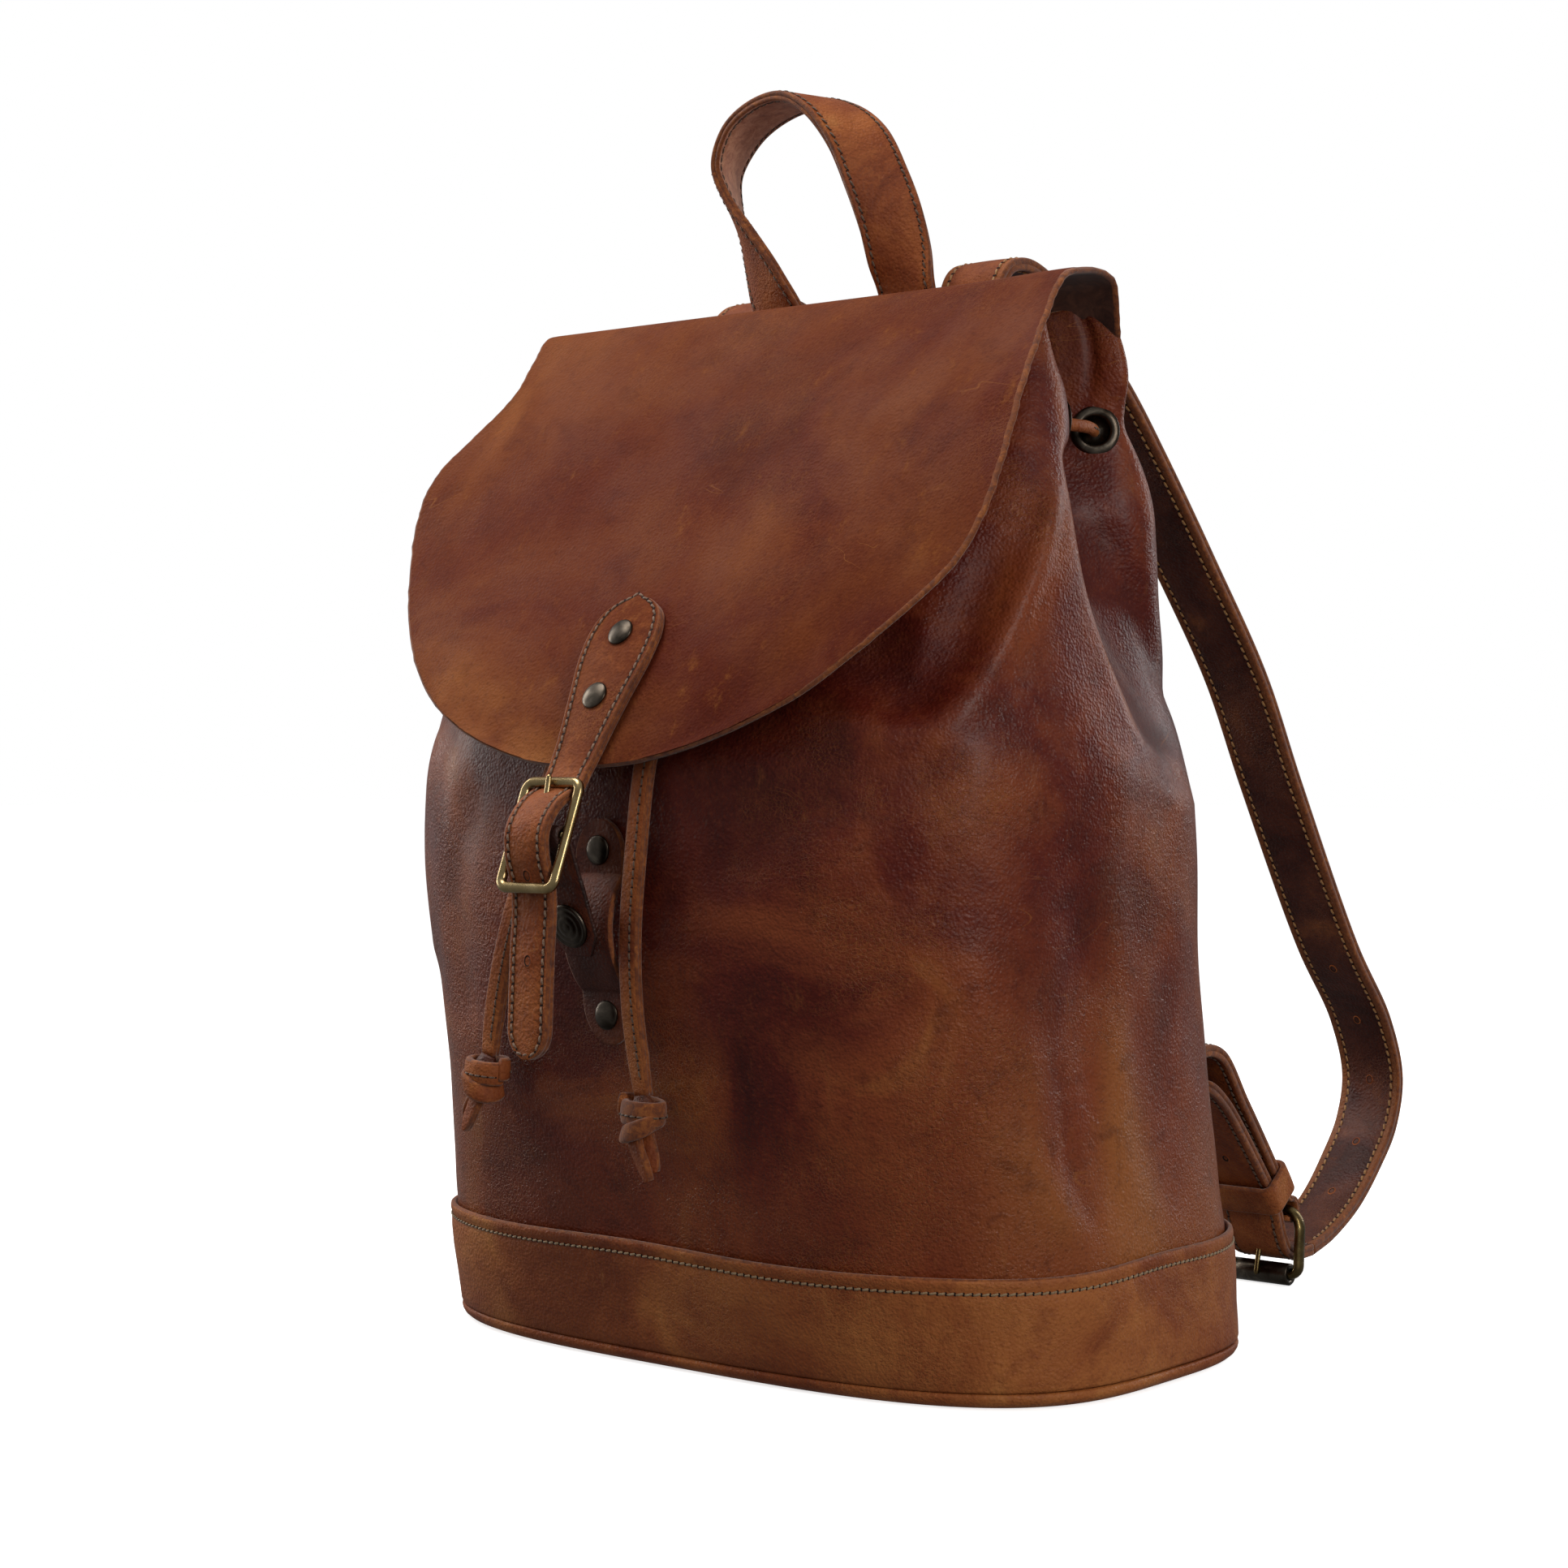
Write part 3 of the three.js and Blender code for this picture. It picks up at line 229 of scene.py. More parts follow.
# Soft creases and swellings: (angle, height) pairs along a line, width, and height of the swelling.
# A degree round the bag is about 2.2 mm of leather.
DEGREE_LENGTH = 2.2
CREASES = [
    ([(-52, 258), (-46, 247), (-41, 258), (-38, 285)], 12, -4.2),
    ([(-60, 241), (-54, 235), (-48, 230), (-42, 231), (-37, 243), (-32, 263), (-28, 288), (-27, 308)],
     7, 2.8),
    ([(-44, 216), (-60, 208), (-74, 211)], 11, -1.8),
    ([(-2, 214), (-4, 180), (-2, 140), (-8, 90)], 11, 1.2),
    ([(-57, 206), (-56, 176), (-58, 149)], 9, 1.3),
    ([(-36, 150), (-33, 100), (-34, 58)], 14, 1.4),
    ([(-27, 118), (-30, 88), (-27, 60)], 7, 1.3),
    ([(-21, 110), (-22, 80), (-19, 58)], 6, -1.5),
    ([(-16, 190), (-13, 130), (-15, 70)], 13, -1.6),
    ([(14, 200), (11, 168), (13, 130)], 12, -1.1),
    ([(-60, 200), (-72, 178), (-88, 172)], 10, -1.1),
    ([(-48, 140), (-60, 118), (-74, 112)], 12, -1.0),
    ([(-105, 90), (-84, 78), (-60, 82)], 12, -0.9),
    ([(-118, 205), (-124, 170), (-122, 130)], 10, -1.8),
    ([(-150, 215), (-146, 160), (-148, 90)], 14, 1.8),
    ([(-134, 226), (-140, 190), (-139, 150)], 8, 1.6),
    ([(-162, 190), (-166, 120), (-164, 70)], 12, -1.6),
    ([(-200, 305), (-212, 262), (-224, 240)], 10, -2.4),
    ([(20, 300), (32, 255), (46, 236)], 10, -2.4),
    ([(9, 322), (14, 350), (15, 374)], 4, -1.8),
    ([(20, 326), (26, 352), (27, 374)], 4, -1.6),
    ([(171, 322), (166, 350), (165, 374)], 4, -1.8),
    ([(62, 240), (84, 226), (112, 230)], 14, -1.4),
    ([(70, 110), (92, 96), (118, 104)], 16, -1.2),
]


def relief(angle, z):
    """How far the leather stands off the smooth body, where nothing is fixed to it."""
    angle, z = np.broadcast_arrays(np.asarray(angle, float), np.asarray(z, float))
    a = np.radians(angle)
    lift = 0.55 * np.sin(5 * a + 0.031 * z + 1.1) + 0.45 * np.sin(9 * a - 0.047 * z + 0.4)
    lift = lift + 0.3 * np.sin(17 * a + 0.08 * z) * np.sin(0.05 * z + 2)
    for line, width, height in CREASES:
        nearest = np.full(angle.shape, 1e9)
        for (a0, z0), (a1, z1) in zip(line, line[1:]):
            px, pz = ((angle - a0 + 180) % 360 - 180) * DEGREE_LENGTH, z - z0
            dx, dz = (a1 - a0) * DEGREE_LENGTH, z1 - z0
            t = np.clip((px * dx + pz * dz) / (dx * dx + dz * dz), 0, 1)
            nearest = np.minimum(nearest, np.hypot(px - t * dx, pz - t * dz))
        lift = lift + height * np.exp(-((nearest / width) ** 2))
    x = body(angle, z)[..., 0]
    near_loop = np.exp(-((x / 26) ** 4)) * (np.sin(a) < 0)
    at_eyelets = smooth(z, 303, 330) * (1 - smooth(z, 350, 362))
    calm = smooth(z, 47, 68) * (1 - 0.85 * at_eyelets) * (1 - near_loop)
    under_flap = smooth(z, 240, 266) * (np.sin(a) < -0.62)
    return np.where(lift > 0, lift * (1 - under_flap), lift) * calm


def seat(angle, height=EYELET_HEIGHT):
    """Where an eyelet sits, in the middle of the leather, and the way that it faces."""
    normal = body_normal(angle, height)
    return body(angle, height) - normal * WALL / 2, normal


EYELETS = {
    "eyelet_front_right": -81.5, "eyelet_fold_front_right": -6.5, "eyelet_fold_rear_right": 27.0,
    "eyelet_front_left": -98.5, "eyelet_fold_front_left": 186.5, "eyelet_fold_rear_left": 153.0,
}

flap_front = curve([(0, -25, 393.2), (0, -32, 391), (0, -45, 376), (0, -68, 344), (0, -94, 302),
                    (0, -123, 257), (0, -144.5, 219)], 600)
flap_back = curve([(0, -25, 393.2), (0, -11, 392), (0, 2, 387), (0, 11.5, 378), (0, 19, 367),
                   (0, 30, 354.5), (0, 41, 342), (0, 47, 334)], 300)
FLAP_LENGTH, FLAP_BACK_LENGTH = length_of(flap_front), length_of(flap_back)
FLAP_WIDEST, FLAP_HALF, RIDGE_HALF = 106.0, 138, 128


def flap_width(s):
    """Half the flap's width at a distance along the leather, positive in front of the ridge."""
    s = np.asarray(s, float)
    taper = RIDGE_HALF + 10 * smooth(s, 0, FLAP_WIDEST)
    t = np.clip((s - FLAP_WIDEST) / (FLAP_LENGTH - FLAP_WIDEST), 0, 1)
    behind = RIDGE_HALF - 38 * np.clip(-s / FLAP_BACK_LENGTH, 0, 1) ** 2
    front = np.where(s < FLAP_WIDEST, taper, FLAP_HALF * np.sqrt(np.maximum(1 - t * t, 1e-4)))
    return np.where(s < 0, behind, front)


left_edge = track([(0, 0), (22, -4), (40, -6), (56, -1), (80, 8), (104, 6), (126, 0), (156, -4), (190, -3),
                   (211, 0)])


def flap(across, s):
    """The upper side of the flap at a share of its half width and a distance along the leather."""
    across, s = np.broadcast_arrays(np.asarray(across, float), np.asarray(s, float))
    ahead, _ = along_line(flap_front, np.clip(s, 0, FLAP_LENGTH))
    rear, _ = along_line(flap_back, np.clip(-s, 0, FLAP_BACK_LENGTH))
    t = np.clip(-s / FLAP_BACK_LENGTH / 0.8, 0, 1)
    place = np.where((s < 0)[..., None], rear, ahead)
    place[..., 0] = across * flap_width(s)
    place[..., 1] -= 6 * np.abs(across) ** 3 * np.sin(math.pi * t) ** 2
    place[..., 0] -= left_edge(np.clip(s, 0, 211)) * smooth(-across, 0.45, 1.0)
    corner = np.exp(-(((s + 17) / 15) ** 2)) * smooth(across, 0.6, 0.97)
    place[..., 1] += 3.0 * corner
    place[..., 2] += 4.5 * corner
    place[..., 1] += 9.0 * smooth(np.abs(across), 0.68, 0.93) * smooth(-s, 4, 24)
    return place


def flap_normal(across, s):
    wide = flap(across + 0.01, s) - flap(across - 0.01, s)
    ahead = flap(across, s + 0.3) - flap(across, s - 0.3)
    return unit(np.cross(ahead, wide))


def on_back(x, start, end, off, count):
    """A line on the outside of the rear of the flap."""
    place, way = along_line(flap_back, np.linspace(start, end, count))
    return place + np.stack([np.full(count, float(x)), -way[:, 2] * off, way[:, 1] * off], axis=1)


# ---- Materials -------------------------------------------------------------------------------


def rgb(code):
    parts = [int(code[i:i + 2], 16) / 255 for i in (1, 3, 5)]
    return [c / 12.92 if c < 0.04045 else ((c + 0.055) / 1.055) ** 2.4 for c in parts] + [1.0]


class Nodes:
    """A material and short calls that add nodes to it."""

    def __init__(self, name):
        self.material = bpy.data.materials.new(name)
        self.material.use_nodes = True
        self.tree = self.material.node_tree
        self.shader = self.tree.nodes["Principled BSDF"]
        self.place = self.add("ShaderNodeTexCoord").outputs["Object"]

    def add(self, kind, **values):
        node = self.tree.nodes.new(kind)
        for key, value in values.items():
            setattr(node, key, value)
        return node

    def link(self, source, target):
        self.tree.links.new(source, target)

    def fill(self, node, **inputs):
        for key, value in inputs.items():
            self.feed(node.inputs[key.replace("_", " ")], value)
        return node

    def feed(self, socket, value):
        if isinstance(value, bpy.types.NodeSocket):
            self.link(value, socket)
        else:
            socket.default_value = value

    def stretched(self, x, y, z):
        node = self.add("ShaderNodeMapping")
        node.inputs["Scale"].default_value = (x, y, z)
        self.link(self.place, node.inputs["Vector"])
        return node.outputs["Vector"]

    def noise(self, scale, detail=4.0, roughness=0.55, distortion=0.0, place=None):
        node = self.fill(self.add("ShaderNodeTexNoise"), Vector=place or self.place, Scale=scale,
                         Detail=detail, Roughness=roughness, Distortion=distortion)
        return node.outputs["Fac"]

    def cells(self, scale, feature, place=None):
        node = self.add("ShaderNodeTexVoronoi", feature=feature)
        return self.fill(node, Vector=place or self.place, Scale=scale).outputs["Distance"]

    def attribute(self, name):
        return self.add("ShaderNodeAttribute", attribute_name=name).outputs["Fac"]

    def tint(self, base, value, low, high, amount, color):
        """The base, with up to an amount of a color as the value goes from low to high."""
        return self.mix(self.spread(value, low, high, 0.0, amount), base, rgb(color))

    def spread(self, value, low, high, to_low=0.0, to_high=1.0):
        node = self.add("ShaderNodeMapRange", interpolation_type="SMOOTHSTEP")
        self.link(value, node.inputs[0])
        for i, number in enumerate((low, high, to_low, to_high), 1):
            node.inputs[i].default_value = number
        return node.outputs[0]

    def ramp(self, value, stops):
        node = self.add("ShaderNodeValToRGB")
        while len(node.color_ramp.elements) < len(stops):
            node.color_ramp.elements.new(0.5)
        for element, (at, color) in zip(node.color_ramp.elements, stops):
            element.position = at
            element.color = rgb(color)
        self.link(value, node.inputs["Fac"])
        return node.outputs["Color"]

    def mix(self, factor, first, second, blend_type="MIX"):
        node = self.add("ShaderNodeMix", data_type="RGBA", blend_type=blend_type)
        for i, value in ((0, factor), (6, first), (7, second)):
            self.feed(node.inputs[i], value)
        return node.outputs[2]

    def math(self, operation, first, second=0.0):
        node = self.add("ShaderNodeMath", operation=operation)
        for i, value in enumerate((first, second)):
            self.feed(node.inputs[i], value)
        return node.outputs[0]

    def bumps(self, *layers):
        """Each layer is (height, depth in millimetres, strength)."""
        normal = None
        for height, depth, strength in layers:
            node = self.add("ShaderNodeBump")
            self.fill(node, Height=height, Distance=depth * MM, Strength=strength)
            if normal is not None:
                self.link(normal, node.inputs["Normal"])
            normal = node.outputs["Normal"]
        self.link(normal, self.shader.inputs["Normal"])

    def finish(self, color, roughness, **constants):
        self.link(color, self.shader.inputs["Base Color"])
        self.link(roughness, self.shader.inputs["Roughness"])
        for key, value in constants.items():
            self.shader.inputs[key.replace("_", " ")].default_value = value
        return self.material


def leather(name, dark, mid, tan, light, blotch=13.0, rough=(0.34, 0.5), grain=1.0, creases=1.0,
            coat=0.0, scuffs=0.5, shine=0.4, wear=False, edges=0.0):
    """Oiled pull-up leather: cloudy tones, rubbed patches, pores, fine creases and scratches.

    wear reads the piece's "wear" values, which hold real wear and, on the body and the flap, painted light
    and shade: up to 1.7 is lighter, down to -1 is darker and duller.
    edges is how far the piece's "border" values lighten it.
    """
    n = Nodes(name)
    clouds = n.noise(blotch, 5, 0.58, 0.7)
    base = n.ramp(clouds, [(0.3, dark), (0.46, mid), (0.62, tan), (0.8, light)])
    if edges:
        base = n.mix(n.math("MULTIPLY", n.attribute("border"), edges), base, rgb(light))
    if wear:
        # The "wear" values tint towards tan, then towards the light tone above 0.7, and towards dark below 0.
        # This is real wear, with painted light and shade where the body and the flap carry it.
        rubbed = n.attribute("wear")
        for low, high, amount, color in ((0, 1, 0.75, tan), (0.7, 1.7, 0.6, light), (0, -1, 0.6, dark)):
            base = n.tint(base, rubbed, low, high, amount, color)
    mottle = n.noise(blotch * 5.5, 6, 0.65, 0.4)
    base = n.tint(base, mottle, 0.5, 0.72, 0.4 * scuffs, tan)
    base = n.tint(base, mottle, 0.5, 0.3, 0.4, dark)
    rub = n.noise(95, 9, 0.75, 0.2, n.stretched(1, 1, 0.4))
    base = n.tint(base, rub, 0.56, 0.74, 0.5 * scuffs, light)
    lines = n.math("ABSOLUTE", n.math("SUBTRACT", n.noise(9, 3, 0.6, 1.2, n.stretched(1, 1, 2.2)), 0.5))
    scratch = n.math("MULTIPLY", n.spread(lines, 0.0035, 0.0005), n.spread(n.noise(23, 2), 0.58, 0.68))
    base = n.mix(n.math("MULTIPLY", scratch, 0.55 * scuffs), base, rgb(light))
    net = n.cells(780.0, "DISTANCE_TO_EDGE", n.mix(0.006, n.place, n.noise(60, 3)))
    crackle = n.math("MULTIPLY", n.spread(net, 0.14, 0.0), n.spread(n.noise(14, 4, 0.6), 0.45, 0.64))
    base = n.mix(n.math("MULTIPLY", crackle, 0.28 * creases), base, rgb(light))
    speck = n.noise(620, 4, 0.7)
    base = n.tint(base, speck, 0.5, 0.75, 0.35, tan)
    base = n.tint(base, speck, 0.5, 0.28, 0.4, dark)
    pores = n.cells(950, "SMOOTH_F1")
    fine = n.noise(2200, 3)
    wrinkle = n.noise(210, 5, 0.62, 0.9, n.stretched(1, 1, 1.5))
    swell = n.noise(48, 3, 0.5)
    dips = n.math("SUBTRACT", 1.0, crackle)
    n.bumps((swell, 0.8, 0.3 * creases), (wrinkle, 0.7, 0.6 * creases), (dips, 0.2, 0.7 * creases),
            (pores, 0.35, 0.9 * grain), (fine, 0.12, 0.6 * grain))
    gloss = n.math("ADD", n.spread(n.noise(31, 5, 0.6), 0.35, 0.68, rough[0], rough[1]),
                   n.spread(rub, 0.5, 0.75, 0, 0.12))
    if wear:
        gloss = n.math("ADD", gloss, n.spread(rubbed, 0.0, -1.0, 0.0, 0.3))
    return n.finish(base, gloss, Specular_IOR_Level=shine, Coat_Weight=coat, Coat_Roughness=0.25)


def fibre(name, dark, mid, light, scale=300.0, depth=0.35, sheen=0.25):
    """A raw edge or a flesh side: matt, fibrous and uneven."""
    n = Nodes(name)
    threads = n.noise(scale, 7, 0.72, 0.6)
    base = n.ramp(threads, [(0.32, dark), (0.5, mid), (0.7, light)])
    patches = n.noise(38, 4, 0.6)
    base = n.tint(base, patches, 0.52, 0.72, 0.45, dark)
    n.bumps((threads, depth, 0.8), (n.noise(scale * 4, 3), 0.08, 0.6))
    return n.finish(base, n.spread(threads, 0.3, 0.7, 0.72, 0.92), Specular_IOR_Level=0.3,
                    Sheen_Weight=sheen, Sheen_Roughness=0.5)


def brass(name, dark, mid, bright, wear=0.5, rough=(0.26, 0.46), fine=700):
    """Old brass: patina in patches, rubbed brighter, with fine scratches."""
    n = Nodes(name)
    patina = n.noise(110, 5, 0.6, 0.5)
    base = n.ramp(patina, [(0.3, dark), (0.34 + 0.36 * (1 - wear), mid), (0.78, bright)])
    scratch = n.noise(fine, 4, 0.7, 0.3, n.stretched(1, 0.25, 1))
    n.bumps((patina, 0.01, 0.1), (scratch, 0.002, 0.2))
    return n.finish(base, n.spread(scratch, 0.35, 0.7, *rough), Metallic=1.0)


def thread(name, dark, light):
    n = Nodes(name)
    strands = n.noise(1600, 4, 0.7, 0.4)
    n.bumps((strands, 0.12, 0.8),)
    return n.finish(n.ramp(strands, [(0.3, dark), (0.7, light)]), n.spread(strands, 0.3, 0.7, 0.55, 0.8),
                    Sheen_Weight=0.3)


body_leather = leather("body_leather", "#40110c", "#601f14", "#874122", "#ad6d36", blotch=15,
                       rough=(0.27, 0.38), coat=0.06, shine=0.2, wear=True)
band_leather = leather("band_leather", "#6b2f18", "#8c4824", "#a86433", "#c28549", blotch=17,
                       rough=(0.46, 0.6), creases=0.8, shine=0.22)
flap_leather = leather("flap_leather", "#48170b", "#612512", "#7c411f", "#a96b36", blotch=8,
                       rough=(0.58, 0.72), creases=0.6, scuffs=0.7, shine=0.1, wear=True)
strap_leather = leather("strap_leather", "#642b17", "#874422", "#a35d30", "#c08048", blotch=26,
                        rough=(0.52, 0.68), creases=0.8, scuffs=0.8, shine=0.2, edges=0.25)
closure_leather = leather("closure_leather", "#5d2814", "#844220", "#a35d30", "#c08048", blotch=26,
                          rough=(0.5, 0.66), creases=0.9, scuffs=0.8, shine=0.2, wear=True)
lining_leather = leather("lining_leather", "#2b100b", "#441b13", "#5d2f1f", "#94592f", blotch=30,
                         rough=(0.42, 0.58), creases=0.9, scuffs=0.6, shine=0.35, edges=0.75)
loop_leather = leather("loop_leather", "#3a150c", "#542417", "#6f3820", "#8f5530", blotch=30,
                       rough=(0.45, 0.6), creases=0.8, shine=0.3)
dark_leather = leather("dark_leather", "#1b0d0a", "#2b1510", "#3f2018", "#583222", blotch=30,
                       rough=(0.36, 0.52), shine=0.4)
raw_edge = fibre("raw_edge", "#4f2513", "#7c411d", "#a5632f", scale=420)
flesh = fibre("flesh", "#8a523c", "#b07659", "#cc997a", scale=240, depth=0.25)
# A darker flesh side, used for the inside of the body and as painted shade on the flap's underside.
suede_and_painted_shade = fibre("suede_and_painted_shade", "#3c2016", "#573223", "#734a35", scale=180, depth=0.3)
board = fibre("board", "#6b5540", "#8a7458", "#a38e6e", scale=160, depth=0.2, sheen=0.0)
antique = brass("antique_brass", "#2b241d", "#585047", "#8e8474", wear=0.35, rough=(0.28, 0.4))
buckle_brass = brass("buckle_brass", "#4a3d26", "#75633f", "#a3905f", wear=0.4, rough=(0.26, 0.4))
worn_brass = brass("worn_brass", "#8e7a52", "#a18b62", "#bba67c", wear=0.6, rough=(0.24, 0.3), fine=260)
seam_thread = thread("seam_thread", "#70553a", "#ab9068")
gold_thread = thread("gold_thread", "#7a5126", "#b8894e")
strap_thread = thread("strap_thread", "#4f3624", "#94745a")
dark_thread = thread("dark_thread", "#3a261b", "#6b5038")
# Near-black painted shade for the mouths of punched holes and stitch holes.
painted_hole_shade = fibre("painted_hole_shade", "#160a07", "#1d0e09", "#26130c", scale=500, depth=0.05, sheen=0.0)

# ---- Mesh making -----------------------------------------------------------------------------


def link_mesh(name, points, faces, materials, paint=None):
    """Makes a smooth piece. paint gives a material for each face."""
    mesh = bpy.data.meshes.new(name)
    mesh.from_pydata((np.asarray(points, float) * MM).tolist(), [], faces)
    for material in materials:
        mesh.materials.append(material)
    if paint is not None:
        mesh.polygons.foreach_set("material_index", paint)
    mesh.polygons.foreach_set("use_smooth", [True] * len(mesh.polygons))
    mesh.update()
    piece = bpy.data.objects.new(name, mesh)
    bpy.context.collection.objects.link(piece)
    return piece


def store(piece, name, values):
    layer = piece.data.attributes.new(name, "FLOAT", "POINT")
    layer.data.foreach_set("value", np.asarray(values, np.float32).ravel())


def grid(rows, columns, wrap_rows=False, wrap_columns=True):
    """Quads of a grid of points, row by row."""
    r = np.arange(rows if wrap_rows else rows - 1)
    c = np.arange(columns if wrap_columns else columns - 1)
    r, c = np.meshgrid(r, c, indexing="ij")
    r2, c2 = (r + 1) % rows, (c + 1) % columns
    return np.stack([r * columns + c, r * columns + c2, r2 * columns + c2, r2 * columns + c], axis=-1)


def rings_mesh(name, rings, materials, paint=None, closed=False, caps=True):
    """A piece through a row of rings. paint gives a material for each place round the ring."""
    rows, columns = rings.shape[:2]
    quads = grid(rows, columns, closed).reshape(-1, 4)
    points = rings.reshape(-1, 3)
    a, b, c, d = (points[quads[:, k]] for k in range(4))
    volume = np.einsum("ij,ij->", a, np.cross(b, c) + np.cross(c, d))
    faces = (quads[:, ::-1] if volume < 0 else quads).tolist()
    spans = rows if closed else rows - 1
    colors = list(np.tile(paint if paint is not None else np.zeros(columns, int), spans))
    if caps and not closed:
        first = list(range(columns))
        last = [(rows - 1) * columns + k for k in range(columns)]
        faces += [first, last[::-1]] if volume < 0 else [first[::-1], last]
        colors += [len(materials) - 1] * 2
    return link_mesh(name, points, faces, materials, colors)


def border_of(rings, section):
    """1 along a strap's borders and 0 between them, for each point of its rings."""
    across = np.abs(section[:, 0]) / np.abs(section[:, 0]).max()
    return np.broadcast_to(smooth(across, 0.72, 0.8), rings.shape[:2])


def swept(line, side, section, scale=None, closed=False):
    """Rings of a section along a line. Each section point is (across, off)."""
    way = tangents(line, closed)
    side = np.broadcast_to(np.asarray(side, float), line.shape)
    side = unit(side - (side * way).sum(1, keepdims=True) * way)
    out = np.cross(way, side)
    scale = np.ones((len(line), 2)) if scale is None else np.asarray(scale, float)
    section = np.asarray(section, float)
    across = section[None, :, :1] * scale[:, None, :1]
    off = section[None, :, 1:] * scale[:, None, 1:]
    return line[:, None] + side[:, None] * across + out[:, None] * off, side, out


FACE_IN, EDGE, FACE_OUT = 0, 1, 2


def strap_section(width, thickness, stitch=2.3, crown=0.3, groove=0.35, layers=2):
    """A strap's section, crowned between its stitch lines, and the paint of each side of it."""
    half, t = width / 2, thickness / 2
    spots = [half - 0.7]
    if stitch:
        spots += [half - stitch + 0.9, half - stitch + 0.35, half - stitch - 0.35, half - stitch - 1]
    spots += [half * 0.5, half * 0.22]
    across = np.array([-s for s in spots] + [0] + spots[::-1])
    rise = t - 0.08 + crown * (1 - (across / half) ** 2)
    if stitch:
        rise = rise - groove * np.exp(-(((np.abs(across) - half + stitch) / 0.6) ** 2))
    edge = [(half - 0.22, t - 0.28), (half, t - 0.75)]
    if layers == 2:
        edge += [(half, 0.28), (half - 0.4, 0.0), (half, -0.28)]
    edge += [(half, -t + 0.75), (half - 0.22, -t + 0.28)]
    lower = [(x, -h) for x, h in zip(across, rise)]
    upper = [(x, h) for x, h in zip(across[::-1], rise[::-1])]
    points = lower + edge[::-1] + upper + [(-x, off) for x, off in edge]
    paint = [FACE_IN] * (len(lower) - 1) + [EDGE] * (len(edge) + 1)
    paint += [FACE_OUT] * (len(upper) - 1) + [EDGE] * (len(edge) + 1)
    return np.array(points), np.array(paint)


def oval(width, thickness, sides):
    a = (np.arange(sides) + 0.5) / sides * 2 * math.pi
    return np.stack([np.cos(a) * width / 2, np.sin(a) * thickness / 2], axis=1)


def both_faces(line, side, out, across, off, part):
    """Stitch rows near both edges of a strap, on both of its faces, along a part of it."""
    rows = []
    for edge in (-1, 1):
        for face in (-1, 1):
            spot = line + side * edge * across + out * face * off
            rows.append((spot[part], out[part] * face))
    return rows


def lines_at(at, *values):
    """Each set of points, sampled at lengths along the first set."""
    line = values[0]
    lengths = np.concatenate([[0], np.cumsum(np.linalg.norm(np.diff(line, axis=0), axis=1))])
    at = at * lengths[-1]
    return [np.stack([np.interp(at, lengths, v[:, k]) for k in range(3)], axis=1) for v in values]


def sew(name, rows, thread_look, how, pitch=3.3, size=STITCH, slant=0.0):
    """One piece with the stitches of several rows, placed. A row is (points, outward directions)."""
    places, ways, normals = [], [], []
    for line, normal in rows:
        count = max(2, int(round(length_of(line) / pitch)))
        spot, out, way = lines_at((np.arange(count) + 0.5) / count, line, normal, tangents(line))
        out = unit(out)
        way = unit(way - (way * out).sum(1, keepdims=True) * out)
        places.append(spot)
        normals.append(out)
        ways.append(unit(way + slant * np.cross(out, way)))
    spot, way, out = np.vstack(places), np.vstack(ways), np.vstack(normals)
    across = np.cross(way, out)
    length, radius = size
    shape = [(-0.5, 0.35, -0.25), (-0.34, 0.9, 0.05), (0, 1, 0.3), (0.34, 0.9, 0.05), (0.5, 0.35, -0.25)]
    sides = 7
    angle = np.arange(sides) / sides * 2 * math.pi
    cos, sin = np.cos(angle)[None, :, None], np.sin(angle)[None, :, None]
    rings = []
    for at, fat, lift in shape:
        centre = spot + way * at * length + out * lift * radius
        rings.append(centre[:, None] + across[:, None] * cos * fat * radius
                     + out[:, None] * sin * fat * radius * 0.8)
    points = [np.stack(rings, axis=1).reshape(-1, 3)]
    count, size = len(spot), len(shape) * sides
    quads = np.arange(count)[:, None] * size + grid(len(shape), sides).reshape(1, -1)
    faces = quads.reshape(-1, 4).tolist()
    paint = [0] * len(faces)
    base = count * size
    # Each stitch's two holes are small discs of painted shade.
    for end in (-1, 1):
        hole = spot + way * end * pitch * 0.5 + out * 0.04
        disc = hole[:, None] + across[:, None] * cos * radius * 0.95 + way[:, None] * sin * radius * 0.95
        points.append(disc.reshape(-1, 3))
        faces += (base + np.arange(count * sides).reshape(count, sides)).tolist()
        paint += [1] * count
        base += count * sides
    piece = link_mesh(name, np.vstack(points), faces, [thread_look, painted_hole_shade], paint)
    return place(piece, "strap_leather", how)


def lathe(name, profile, at, direction, material, segments=40):
    """A turned piece: (radius, height) pairs about an axis, which isn't upright."""
    axis = unit(np.asarray(direction, float))
    first = unit(np.cross(axis, vec(0, 0, 1)))
    second = np.cross(axis, first)
    angle = np.arange(segments) / segments * 2 * math.pi
    turned = np.cos(angle)[:, None] * first + np.sin(angle)[:, None] * second
    rings = np.stack([np.asarray(at, float) + axis * h + turned * r for r, h in profile])
    return rings_mesh(name, rings, [material])


def rounded(width, length, top, bottom, count=160):
    """A rounded rectangle of points (across, down), evenly spaced."""
    arcs = []
    half = width / 2
    for cx, cy, r, start in ((half - top, top, top, -90), (half - bottom, length - bottom, bottom, 0),
                             (bottom - half, length - bottom, bottom, 90), (top - half, top, top, 180)):
        a = np.radians(np.linspace(start, start + 90, 16))
        arcs.append(np.stack([cx + r * np.cos(a), cy + r * np.sin(a), 0 * a], axis=1))
    return even(np.vstack(arcs), count, closed=True)[:, :2]


